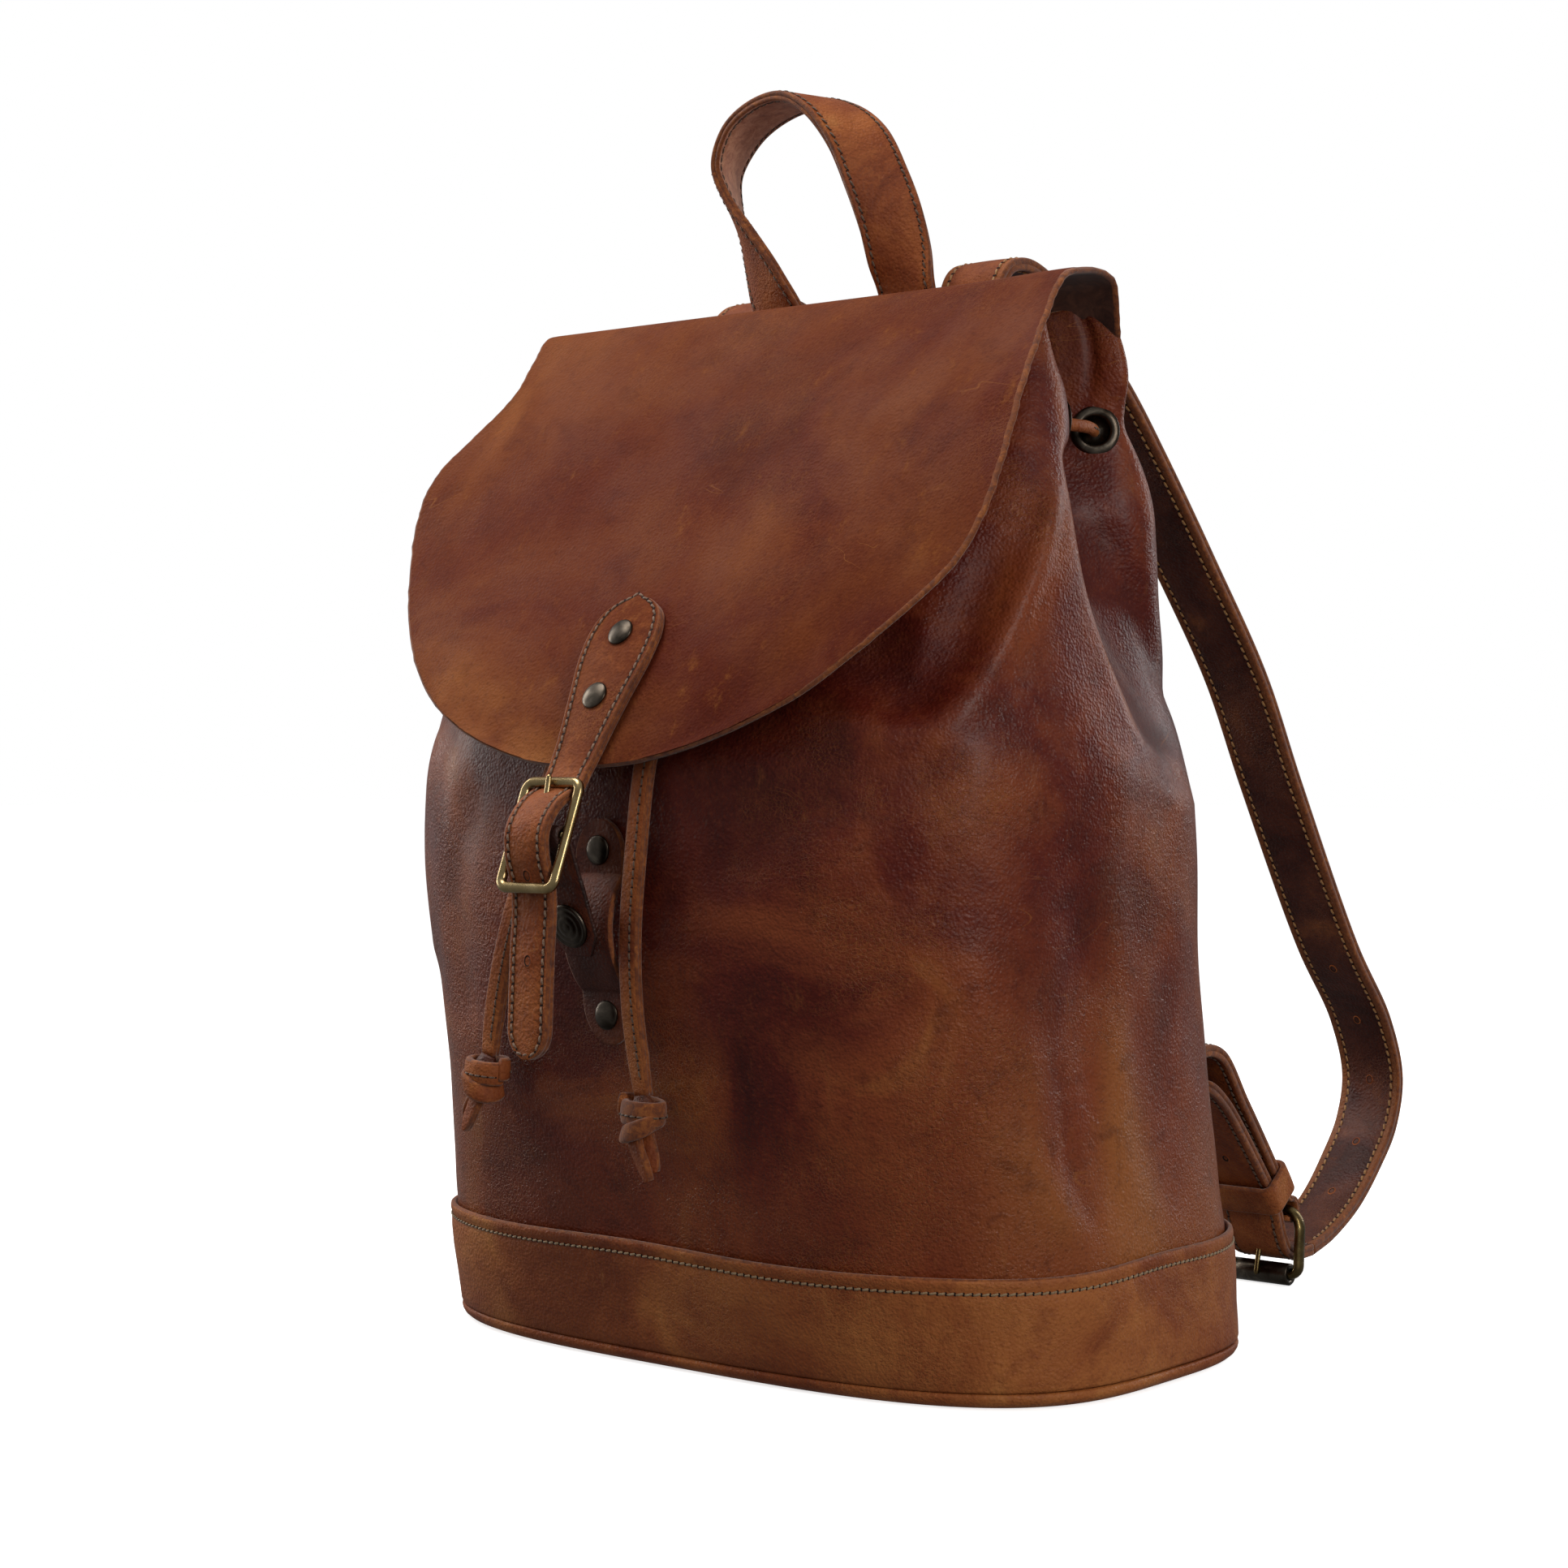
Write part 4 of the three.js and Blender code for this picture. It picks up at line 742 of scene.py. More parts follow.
def soften(piece):
    """Adds a subdivision to a mesh and keeps the result."""
    modifier = piece.modifiers.new("soften", "SUBSURF")
    modifier.levels = modifier.render_levels = 1
    graph = bpy.context.evaluated_depsgraph_get()
    mesh = bpy.data.meshes.new_from_object(piece.evaluated_get(graph))
    piece.modifiers.clear()
    piece.data = mesh
    return piece


def place(piece, slot, how, nodes=()):
    """Fixes a piece to its body, or keeps it where it stands when it lies between two bodies, and hides the
    model parts that it stands for.
    """
    if isinstance(how, str):
        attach(piece, how)
    else:
        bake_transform(piece)
    if nodes:
        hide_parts(*nodes)
    return piece


def strap(name, line, side, section, looks, nodes=(), slot="strap_leather", how="bag", scale=None,
          closed=False, soft=False):
    """A placed piece with a section, or a (section, paint), along a line, and its side and out ways."""
    points, paint = section if isinstance(section, tuple) else (section, None)
    rings, side, out = swept(line, side, points, scale, closed)
    piece = rings_mesh(name, rings, looks, paint, closed=closed)
    if soft:
        soften(piece)
    place(piece, slot, how, nodes)
    return piece, side, out

# ---- Body, band and base ---------------------------------------------------------------------


def build_body():
    t = np.arange(-180, 180, 1.0)
    angles = t - 6 * np.sin(np.radians(2 * t))
    z = np.concatenate([np.linspace(6.5, 325, 112), np.linspace(327, 377.4, 27)])
    rows = [(h, 0.0, 0) for h in z]
    rows += [(378.3, -0.35, 1), (378.8, -1.1, 1), (378.9, -1.9, 1), (378.4, -2.7, 1), (377.4, -3.0, 2)]
    rows += [(h, -3.0, 2) for h in np.linspace(374, 9, 80)]
    heights, offs, paint = (np.array(v, float) for v in zip(*rows))
    a, h = np.meshgrid(angles, heights)
    normal = body_normal(a, h)
    lift = relief(a, h)
    ragged = 0.5 * np.sin(np.radians(a) * 23) * np.sin(np.radians(a) * 7 + 1)
    points = body(a, h) + normal * (lift + offs[:, None])[..., None]
    points[..., 2] += ragged * smooth(h, 365, 378)
    quads = grid(len(rows), len(angles)).reshape(-1, 4)
    color = np.repeat(paint[:-1].astype(int), len(angles))
    flat = points.reshape(-1, 3)
    centre = flat[quads].mean(axis=1)
    keep = np.ones(len(quads), bool)
    for angle in EYELETS.values():
        middle, axis = seat(angle)
        away = centre - middle
        depth = away @ axis
        radius = np.linalg.norm(away - depth[:, None] * axis, axis=1)
        keep &= (radius > EYELET_HOLE) | (np.abs(depth) > 8)
    shell = link_mesh("body_shell", flat, quads[keep].tolist(), [body_leather, raw_edge, suede_and_painted_shade], color[keep])
    # Lighter: the corners and the foot (wear), low on the right side (painted light), the crest of each fold
    # (painted highlight and wear) and the swellings (wear and painted highlight). Darker: the folds' hollows,
    # the creases and dents, and the middle of the front and back higher up (painted shade).
    x, z = np.abs(points[..., 0]), points[..., 2]
    wear_and_shading = 0.55 * smooth(x, 104, 138) * (1 - 0.9 * smooth(z, 110, 230)) + 0.5 * (1 - smooth(z, 58, 128))
    # Painted light: lighter low on the right side, standing in for the brighter light that falls there.
    wear_and_shading = wear_and_shading + 0.7 * np.exp(-(((a + 7) / 9) ** 2)) * (1 - smooth(z, 110, 190))
    beside = points[..., 1] - crest_y(z)
    folded = smooth(z, 212, 236) * (x > 80)
    # Painted highlight along each fold's crest, with some wear.
    wear_and_shading = wear_and_shading + 1.1 * np.exp(-((beside / 3.5) ** 2)) * folded
    # Painted shade in each fold's hollow.
    wear_and_shading = wear_and_shading - 1.3 * np.exp(-(((beside - 22) / 15) ** 2)) * folded
    # Lighter on swellings (wear and painted highlight), painted shade in creases and dents, and painted shade
    # over the middle of the front and back higher up.
    wear_and_shading = wear_and_shading + np.clip(lift * 0.16, -0.5, 0.45) - 0.35 * smooth(110 - x, 0, 60) * smooth(z, 90, 140)
    store(shell, "wear", wear_and_shading)
    place(shell, "body_leather", "bag", ["front_body_panel", "back_panel"])


def build_seams():
    rows = []
    for angle in (SEAM, 180 - SEAM):
        for shift in (-1.6, 1.6):
            h = np.linspace(52, 372, 160)
            at = angle + shift
            normal = body_normal(at, h)
            rows.append((body(at, h) + normal * (relief(at, h) + 0.15)[:, None], normal))
    sew("side_seam_stitches", rows, seam_thread, "bag", size=(2.5, 0.42), slant=0.12)
    for name, angle in (("side_seam_right", SEAM), ("side_seam_left", 180 - SEAM)):
        h = np.linspace(49, 375, 170)
        normal = body_normal(angle, h)
        line = body(angle, h) + normal * (relief(angle, h) - 0.15)[:, None]
        side = np.cross(normal, tangents(line))
        strap(name, line, side, oval(1.5, 1.1, 10), [raw_edge], slot="body_leather")


def band_wave(angle):
    a = np.radians(angle)
    return 0.9 * np.sin(a * 3 + 0.7) + 0.4 * np.sin(a * 8 + 2)


def build_base():
    around = np.arange(-180, 180, 1.2)
    around = around - 6 * np.sin(np.radians(2 * around))
    rows = [(6.3, 0.95), (6.15, 1.9), (6.6, 2.6), (7.6, 2.9), (12, 3.0), (20, 3.1), (30, 3.05), (37, 2.95),
            (40, 2.9), (41.2, 2.55), (41.9, 2.5), (42.6, 2.6), (43.8, 2.95), (45.2, 2.95), (46.1, 2.7),
            (46.6, 2.1), (46.6, 1.4), (46.2, 0.95), (30, 0.9), (15, 0.9)]
    h, off = np.array(rows).T
    a, h = np.meshgrid(around, h)
    bulge = 0.45 * np.sin(np.radians(a) * 6 + h * 0.09) * smooth(h, 8, 20) * (1 - smooth(h, 34, 42))
    points = body(a, h) + body_normal(a, h) * (off[:, None] + bulge * (off[:, None] > 2))[..., None]
    points[..., 2] += band_wave(a) * smooth(h, 20, 40)
    color = np.array([0] * 14 + [1] * 4 + [0] * 2)
    band = rings_mesh("base_band_leather", points.transpose(1, 0, 2), [band_leather, raw_edge], color,
                      closed=True)
    place(band, "body_leather", "bag", ["base_band"])
    dense = np.append(around, around[0] + 360)
    normal = body_normal(dense, BAND_STITCHES)
    spot = body(dense, BAND_STITCHES) + normal * 2.75
    spot[:, 2] += band_wave(dense)
    sew("band_stitches", [(spot, normal)], seam_thread, "bag", 3.0, (2.7, 0.42), slant=0.22)

    rows = [(9, 0.0), (6, 0.1), (4, 0.45), (2.4, 1.1), (1.1, 2.1), (0.35, 3.2), (0.1, 4.3), (0.3, 5.2),
            (1, 5.75), (2.4, 5.7), (8, 5.7)]
    inset, h = np.array(rows).T
    a, h = np.meshgrid(around, h)
    normal = body_normal(a, BAND_FOOT)
    points = body(a, BAND_FOOT) + normal * (BAND_OUT - inset[:, None])[..., None]
    points[..., 2] = h + 0.35 * np.sin(np.radians(a) * 5) * smooth(h, 1.5, 4) * (1 - smooth(h, 5.0, 5.7))
    base = rings_mesh("base_leather", points, [band_leather])
    place(base, "body_leather", "bag", ["base_panel"])


def build_trim():
    outer = [(5.55, 1.0), (5.5, 2.0), (5.75, 2.6), (6.4, 2.9), (7.1, 2.9), (8.2, 2.7), (8.9, 2.35),
             (9.1, 2.1), (9.0, 1.95), (8.4, 1.9)]
    profile = outer + [(r, -h) for r, h in outer[::-1]] + outer[:1]
    for name, angle in EYELETS.items():
        place(lathe(name + "_ring", profile, *seat(angle), antique), "dark_brass", "bag", [name])

    low, high, t = 130.6, 189.0, 2.5
    z = np.linspace(200, 120, 90)
    share = np.clip((z - low - 9) / (high - low - 18), 0, 1)
    lift = 8 * np.sin(math.pi * share) ** 0.7
    line = np.stack([0 * z, front_y(z) - GAP - t / 2 - lift, z], axis=1)
    u = np.linspace(0, 1, 90)
    ends = np.minimum(u, 1 - u) * 80 / 13
    scale = np.stack([np.sqrt(1 - (1 - np.clip(ends, 0.02, 1)) ** 2), np.ones(90)], axis=1)
    section = strap_section(23, t, stitch=0, crown=0.1, layers=1)
    strap("closure_loop_leather", even(line, 90), ACROSS, section, [flesh, raw_edge, loop_leather],
          ["closure_loop"], "body_leather", scale=scale)
    for name, z in (("loop_rivet_lower", low), ("loop_rivet_upper", high)):
        at = vec(0, float(front_y(z)) - GAP - t, z)
        place(rivet(name, at, vec(0, -1, 0), 5.3, 3), "dark_brass", "bag", [name])


def rivet(name, at, direction, radius, shank):
    profile = [(0.01, -shank), (1.8, -shank), (1.8, 0), (radius - 0.5, 0.05), (radius, 0.3),
               (radius - 0.05, 0.75), (radius - 0.5, 1.05), (radius - 1.4, 1.35), (radius * 0.45, 1.62),
               (radius * 0.2, 1.72), (0.01, 1.75)]
    return lathe(name + "_cap", profile, at, direction, antique, 48)


# ---- Flap ------------------------------------------------------------------------------------


def flap_wave(across, s):
    """The flap's soft waves, still under the closure strap and over the ridge."""
    x = across * flap_width(s)
    wave = 1.5 * np.sin(x / 31 + 0.8) * np.sin(s / 47 + 0.5) + 0.8 * np.sin(x / 17 - s / 29)
    free = smooth(np.abs(x), 18, 60) * smooth(s, 25, 70)
    edge = 2.2 * smooth(np.abs(across), 0.75, 1.0) * smooth(s, 60, 110)
    edge = edge * np.sin(s / 26 + np.sign(x) * 0.9)
    return np.abs(wave) * free * 0.8 + np.maximum(edge, -0.2) * free


FLAP_BEND = ("bag", "flap", (0, -0.011, 0.392), (0, -0.045, 0.376))


def build_flap():
    phi = np.radians(np.linspace(0, 88.3, 46))[1:]
    tip = FLAP_WIDEST + (FLAP_LENGTH - FLAP_WIDEST) * np.sin(phi)
    s = np.concatenate([np.linspace(-FLAP_BACK_LENGTH, 0, 40)[:-1], np.linspace(0, FLAP_WIDEST, 52), tip])
    spread = np.sin(np.radians(np.linspace(-90, 90, 73)))
    edge, cut = np.array([0.993, 0.997, 0.997, 0.993]), [0.35, 0.95, 1.45, 2.05]
    across = np.concatenate([0.985 * spread, edge, 0.985 * spread[::-1], -edge])
    depth = np.concatenate([np.zeros(73), cut, np.full(73, FLAP_THICKNESS), cut[::-1]])
    paint = np.array([0] * 72 + [1] * 5 + [2] * 72 + [1] * 5)
    a, d = np.meshgrid(across, s)
    at_edge = np.abs(a) > 0.984
    ragged = 0.35 * np.sin(d * 1.9) * np.sin(d * 0.73 + 1) * at_edge
    kept = 1 - (1 - np.abs(a)) * FLAP_HALF / np.maximum(flap_width(d), 8)
    narrow = np.where(at_edge, np.sign(a) * kept, a)
    points = flap(np.where(flap_width(d) > 30, narrow, a), d)
    normal = flap_normal(np.clip(a, -0.98, 0.98), np.clip(d, -FLAP_BACK_LENGTH + 0.5, FLAP_LENGTH - 0.5))
    points = points + normal * (flap_wave(a, d) - depth)[..., None]
    points[..., 0] += np.sign(a) * ragged
    # The flap's underside takes the darker flesh, as painted shade.
    piece = rings_mesh("flap_leather_sheet", points, [flap_leather, raw_edge, suede_and_painted_shade], paint)
    # Painted light and shade: lighter near the ridge and to the left, where the top light falls, and darker
    # to the right and low down.
    wear_and_shading = 0.5 * (1 - smooth(d, 0, 130)) * (1 - smooth(a, 0.1, 0.9)) + 0.25 * smooth(-a, 0.2, 0.8)
    wear_and_shading = wear_and_shading - 0.6 * smooth(a, 0.0, 0.9) * smooth(d, 30, 150) - 0.4 * smooth(d, 110, 200)
    store(piece, "wear", wear_and_shading)
    place(piece, "flap_leather", FLAP_BEND, ["flap", "flap_rear"])


# ---- Closure strap, front buckle and snap tab -------------------------------------------------

CLOSURE_BEND = ("flap", "closure_strap", (0, -0.1415, 0.2290), (0, -0.1480, 0.2165))
frame_top, frame_bottom = vec(0, -156.5, 213), vec(0, -170.5, 177)
frame_down = unit(frame_bottom - frame_top)
frame_out = vec(0, frame_down[2], -frame_down[1])
centre_bar = (frame_top + frame_bottom) / 2


def build_closure():
    """The strap from its pear-shaped head to its tip, with its stitches, rivets and holes."""
    width, thickness, head_length, head_width, inset = 19.0, 3.8, 72, 33, 2.5
    off = GAP + thickness / 2
    place_on, way = along_line(flap_front, np.linspace(146, FLAP_LENGTH - 5, 14))
    head = place_on + np.stack([0 * way[:, 0], way[:, 2], -way[:, 1]], axis=1) * off
    behind = frame_out * (thickness / 2 + 1.5 + 3.2 * GAP)
    crest = centre_bar + frame_out * (thickness / 2 + 1.5 + 1.8 + 3 * GAP + 0.3)
    free = [(0, -149.6, 215.3), frame_top - behind, crest - frame_down * 9 + vec(0, 3.2, 0), crest,
            crest + frame_down * 9 + vec(0, 2.8, 0), frame_bottom - behind, (0, -167.6, 150), (0, -169, 118)]
    line = curve(np.vstack([head, free]), 300)
    total = length_of(line)
    at = np.linspace(0, total, 300)
    share = track([(0, 0.1), (0.01, 0.32), (0.03, 0.52), (0.07, 0.74), (0.12, 0.88), (0.2, 0.98), (0.28, 1),
                   (0.4, 0.96), (0.58, 0.82), (0.8, 0.67), (1, width / head_width)])
    wide = np.where(at < head_length, share(np.clip(at / head_length, 0, 1)) * head_width, width)
    end = np.clip((total - at) / (width * 0.55), 0.01, 1)
    wide = wide * np.sqrt(1 - (1 - end) ** 2)
    rings, paint, side, out = variable_strap(line, wide, thickness, inset)
    leaf = rings_mesh("closure_strap_leather", rings, [flesh, raw_edge, closure_leather], paint)
    store(leaf, "wear", np.broadcast_to(-0.95 * (1 - smooth(at, 58, 86))[:, None], rings.shape[:2]))
    place(leaf, "strap_leather", CLOSURE_BEND, ["closure_strap_head", "closure_strap"])
    start = int(np.argmax(wide > 2 * inset + 3))
    part = slice(start, len(at) - int(np.argmax(wide[::-1] > 2 * inset + 3)) - 1)
    reach = side[part] * (wide[part, None] / 2 - inset)
    on_left, on_right = line[part] - reach + out[part] * 1.9, line[part] + reach + out[part] * 1.9
    cap = np.linspace(0, 1, 9)[:, None]
    round_head = on_right[0] * (1 - cap) + on_left[0] * cap
    round_head = round_head - tangents(line)[start] * (1.6 * np.sin(math.pi * cap))
    rows = [(np.vstack([on_left, on_right[::-1]]), np.vstack([out[part], out[part][::-1]])),
            (round_head, np.tile(out[start], (9, 1)))]
    sew("closure_strap_stitches", rows, strap_thread, CLOSURE_BEND, 3.3, (2.4, 0.44), slant=0.2)

    for name, at_flap in (("flap_rivet_upper", 162), ("flap_rivet_lower", 188)):
        spot, way = along_line(flap_front, at_flap)
        outward = vec(0, way[2], -way[1])
        piece = rivet(name, spot + outward * (GAP + thickness + 0.25), outward, 5.2, 4)
        place(piece, "dark_brass", "flap", [name])

    for number, height in enumerate((182.0, 152.0)):
        near = int(np.argmin(np.abs(line[:, 2] - height) + 50 * (line[:, 1] > -150)))
        punched(f"closure_hole_{number + 1}", line[near] + out[near] * (thickness / 2 + 0.32), out[near],
                tangents(line)[near], "closure_strap")


def build_front_buckle():
    outline = rounded(25.5, np.linalg.norm(frame_bottom - frame_top), 3.4, 3.4)
    path = frame_top + outline[:, :1] * ACROSS + outline[:, 1:] * frame_down
    strap("front_buckle_frame", path, frame_out, oval(3.4, 3.9, 18), [worn_brass], ["front_buckle"],
          "worn_brass", "closure_strap", closed=True)
    bar = np.linspace(-12.4, 12.4, 12)[:, None] * ACROSS + centre_bar
    strap("front_buckle_bar", bar, frame_out, oval(2.8, 2.8, 14), [worn_brass], (), "worn_brass",
          "closure_strap")
    tip = frame_top + frame_out * 3.3 - frame_down * 1.9
    prong("front_prong_wire", centre_bar, tip, 1.5, worn_brass, "worn_brass", "front_prong")


def variable_strap(line, wide, thickness, inset):
    """A strap whose width changes: its edges and stitch lines keep their size."""
    way = tangents(line)
    side = unit(ACROSS - (ACROSS * way).sum(1, keepdims=True) * way)
    out = np.cross(way, side)
    t = thickness / 2
    half = wide[:, None] / 2
    reach = half - np.array([0.7, inset - 0.8, inset - 0.3, inset + 0.4, inset + 1.1])
    reach = np.maximum(reach, half * 0.06 * np.array([14, 12, 10, 8, 6]))
    face = np.concatenate([reach, half * 0.32, half * 0.12], axis=1).T
    dip = np.array([0.0, 0.02, 0.3, 0.3, 0.02, -0.22, -0.3]) + 0.05
    rise = (t - dip * np.clip(wide / 12, 0, 1)[:, None]).T
    edge = [(0.22, t - 0.28), (0, t - 0.75), (0, 0.25), (0.35, 0), (0, -0.25), (0, -t + 0.75),
            (0.22, -t + 0.28)]
    side_of = [(half[:, 0] - i, np.full(len(line), h)) for i, h in edge]
    flat = np.full(len(line), 0.05 - t)
    zero = np.zeros(len(line))
    loop = [*zip(face, rise), (zero, rise[6] + 0.02), *zip(-face[::-1], rise[::-1])]
    loop += [(-x, h) for x, h in side_of]
    loop += [(-x, flat) for x in face] + [(zero, zero - t)] + [(x, flat) for x in face[::-1]]
    loop += side_of[::-1]
    paint = np.array([FACE_OUT] * 14 + [EDGE] * 8 + [FACE_IN] * 14 + [EDGE] * 8)
    rings = np.stack([line + side * x[:, None] + out * h[:, None] for x, h in loop], axis=1)
    return rings, paint, side, out


def punched(name, at, normal, way, body_name, radius=1.5):
    """A punched hole: a soft rim round a shallow dip, whose dark mouth is painted shade."""
    across = np.cross(normal, way)
    profile = [(radius * 1.7, -0.3), (radius * 1.5, 0.02), (radius * 1.15, 0.1), (radius, 0.02),
               (radius * 0.8, -0.12), (0.01, -0.2)]
    a = np.arange(20) / 20 * 2 * math.pi
    turned = np.cos(a)[:, None] * across * 0.85 + np.sin(a)[:, None] * way * 1.15
    rings = np.stack([at + normal * h + turned * r for r, h in profile])
    piece = rings_mesh(name, rings, [strap_leather, painted_hole_shade], caps=False)
    piece.data.polygons.foreach_set("material_index", [int(k >= 40) for k in range(len(piece.data.polygons))])
    place(piece, "dark_leather", body_name)


def prong(name, bar, tip, bar_radius, material, slot, node):
    """A prong: an eye round its bar, and a shank that ends in a rounded tip."""
    way = unit(tip - bar)
    out = np.cross(way, ACROSS)
    eye = bar_radius + 0.36 + 0.7
    a = np.radians(np.linspace(60, 410, 40))
    wrap = bar + way * (np.cos(a) * eye)[:, None] + out * (np.sin(a) * eye)[:, None]
    strap(name + "_eye", wrap, ACROSS, oval(2.5, 1.5, 12), [material], (), slot, node)
    shank = [bar + way * eye * 0.8, bar * 0.6 + tip * 0.4, bar * 0.25 + tip * 0.75 + out * 0.15, tip]
    line = curve(shank, 40)
    u = np.linspace(0, 1, 40)
    round_tip = np.sqrt(1 - np.clip((u - 0.93) / 0.07, 0, 0.98) ** 2)
    scale = np.stack([np.clip(1.05 - 0.2 * u, 0, 1) * round_tip] * 2, axis=1)
    strap(name, line, ACROSS, oval(2.5, 2.2, 14), [material], [node], slot, node, scale)


def build_snap():
    down, face = vec(0, 0.373, -0.928), vec(0, -0.928, -0.373)
    bend = face * (1.5 + GAP + 0.9)
    drop = down * (1.5 + GAP + 0.9)
    hook = [centre_bar + bend * math.cos(a) - drop * math.sin(a) for a in np.linspace(0, math.pi, 9)]
    line = curve([centre_bar + bend + down * 10, centre_bar + bend + down * 5] + hook
                 + [centre_bar - bend + down * d for d in (6, 12, 22, 32, 40, 47)], 120)
    total = length_of(line)
    end = np.clip((total - np.linspace(0, total, 120)) / 8, 0, 1)
    scale = np.stack([0.52 + 0.48 * end, np.ones(120)], axis=1)
    section = strap_section(22, 1.8, stitch=0, crown=0.05, layers=1)
    strap("snap_tab_leather", line, ACROSS, section, [dark_leather, dark_leather, loop_leather],
          ["snap_tab"], "dark_leather", "snap_tab", scale)
    # The cap has plain rings and the socket a stepped lip. Both stand 1 mm off the middle of the tab.
    spot = centre_bar - bend + down * 35
    foot = [(0.01, 0), (1.9, 0), (1.9, 1.0)]
    cap = [(7.8, 0), (8.2, 0.35), (8.2, 1.0), (7.9, 1.45), (7.3, 1.6), (6.9, 1.45), (6.5, 1.35), (6.0, 1.6),
           (5.2, 1.85), (4.6, 1.75), (4.2, 1.65), (3.7, 1.95), (2.4, 2.15), (1.9, 2.0), (1.5, 2.1),
           (0.8, 2.25), (0.01, 2.3)]
    socket = [(4.6, 0), (5, 0.5), (5, 2.0), (4.6, 2.4), (3.4, 2.4), (3.1, 1.4), (2.2, 1.3), (2.1, 2.9),
              (1.6, 3.2), (0.01, 3.2)]
    for name, node, rest, way, sides in (("snap_cap_rings", "snap_cap", cap, face, 56),
                                         ("snap_socket_ring", "snap_socket", socket, -face, 40)):
        profile = foot + [(r, 1.0 + h) for r, h in rest]
        place(lathe(name, profile, spot, way, antique, sides), "dark_brass", "snap_tab", [node])


# ---- Drawstring ------------------------------------------------------------------------------


CORD_LOOKS = [raw_edge, raw_edge, strap_leather]


def build_drawstring():
    def inside(angle):
        return body(angle, EYELET_HEIGHT) - body_normal(angle, EYELET_HEIGHT) * (WALL + 8)

    def through(angle, depth):
        middle, normal = seat(angle)
        return middle + normal * depth

    outer_front, outer_rear = through(-6.5, 6), through(27, 6)
    half = [through(-81.5, -1.2), through(-81.5, -8), inside(-70), inside(-56), inside(-40), inside(-24),
            through(-6.5, -7.5), through(-6.5, 0), outer_front * 0.7 + outer_rear * 0.3,
            outer_front * 0.3 + outer_rear * 0.7, through(27, 0), through(27, -7.5), inside(40), inside(60),
            inside(75)]
    mirrored = [p * vec(-1, 1, 1) for p in half[::-1]]
    line = curve(half + [inside(90)] + mirrored, 560)
    _, _, out = strap("drawstring_neck_cord", line, (0, 0, 1), oval(4.6, 3.8, 14), [strap_leather],
                      ["drawstring_neck"])
    rows = [(line[part] + out[part] * 1.9, out[part]) for part in (slice(150, 215), slice(-215, -150))]
    sew("drawstring_neck_stitches", rows, dark_thread, "bag", 3.2, (2.3, 0.36))

    section = strap_section(CORD_WIDTH, CORD_THICKNESS, stitch=0, crown=0.25, layers=2)
    part = slice(22, -3)
    for name in CORDS:
        line = curve(CORDS[name], 130)
        scale = np.ones((130, 2))
        scale[:6, 0] = np.linspace(0.62, 1, 6)
        scale[-8:, 0] = np.linspace(1, 0.78, 8)
        cord, side, out = strap(f"drawstring_{name}", line, ACROSS, section, CORD_LOOKS,
                                [f"drawstring_end_{name}"], scale=scale)
        row = [(line[part] + out[part] * (CORD_THICKNESS / 2 + 0.18) + side[part] * 1.3, out[part])]
        thread_row = sew(f"drawstring_{name}_stitches", row, dark_thread, "bag", 3.2, (2.4, 0.36), slant=0.15)
        parts = build_knot(name)


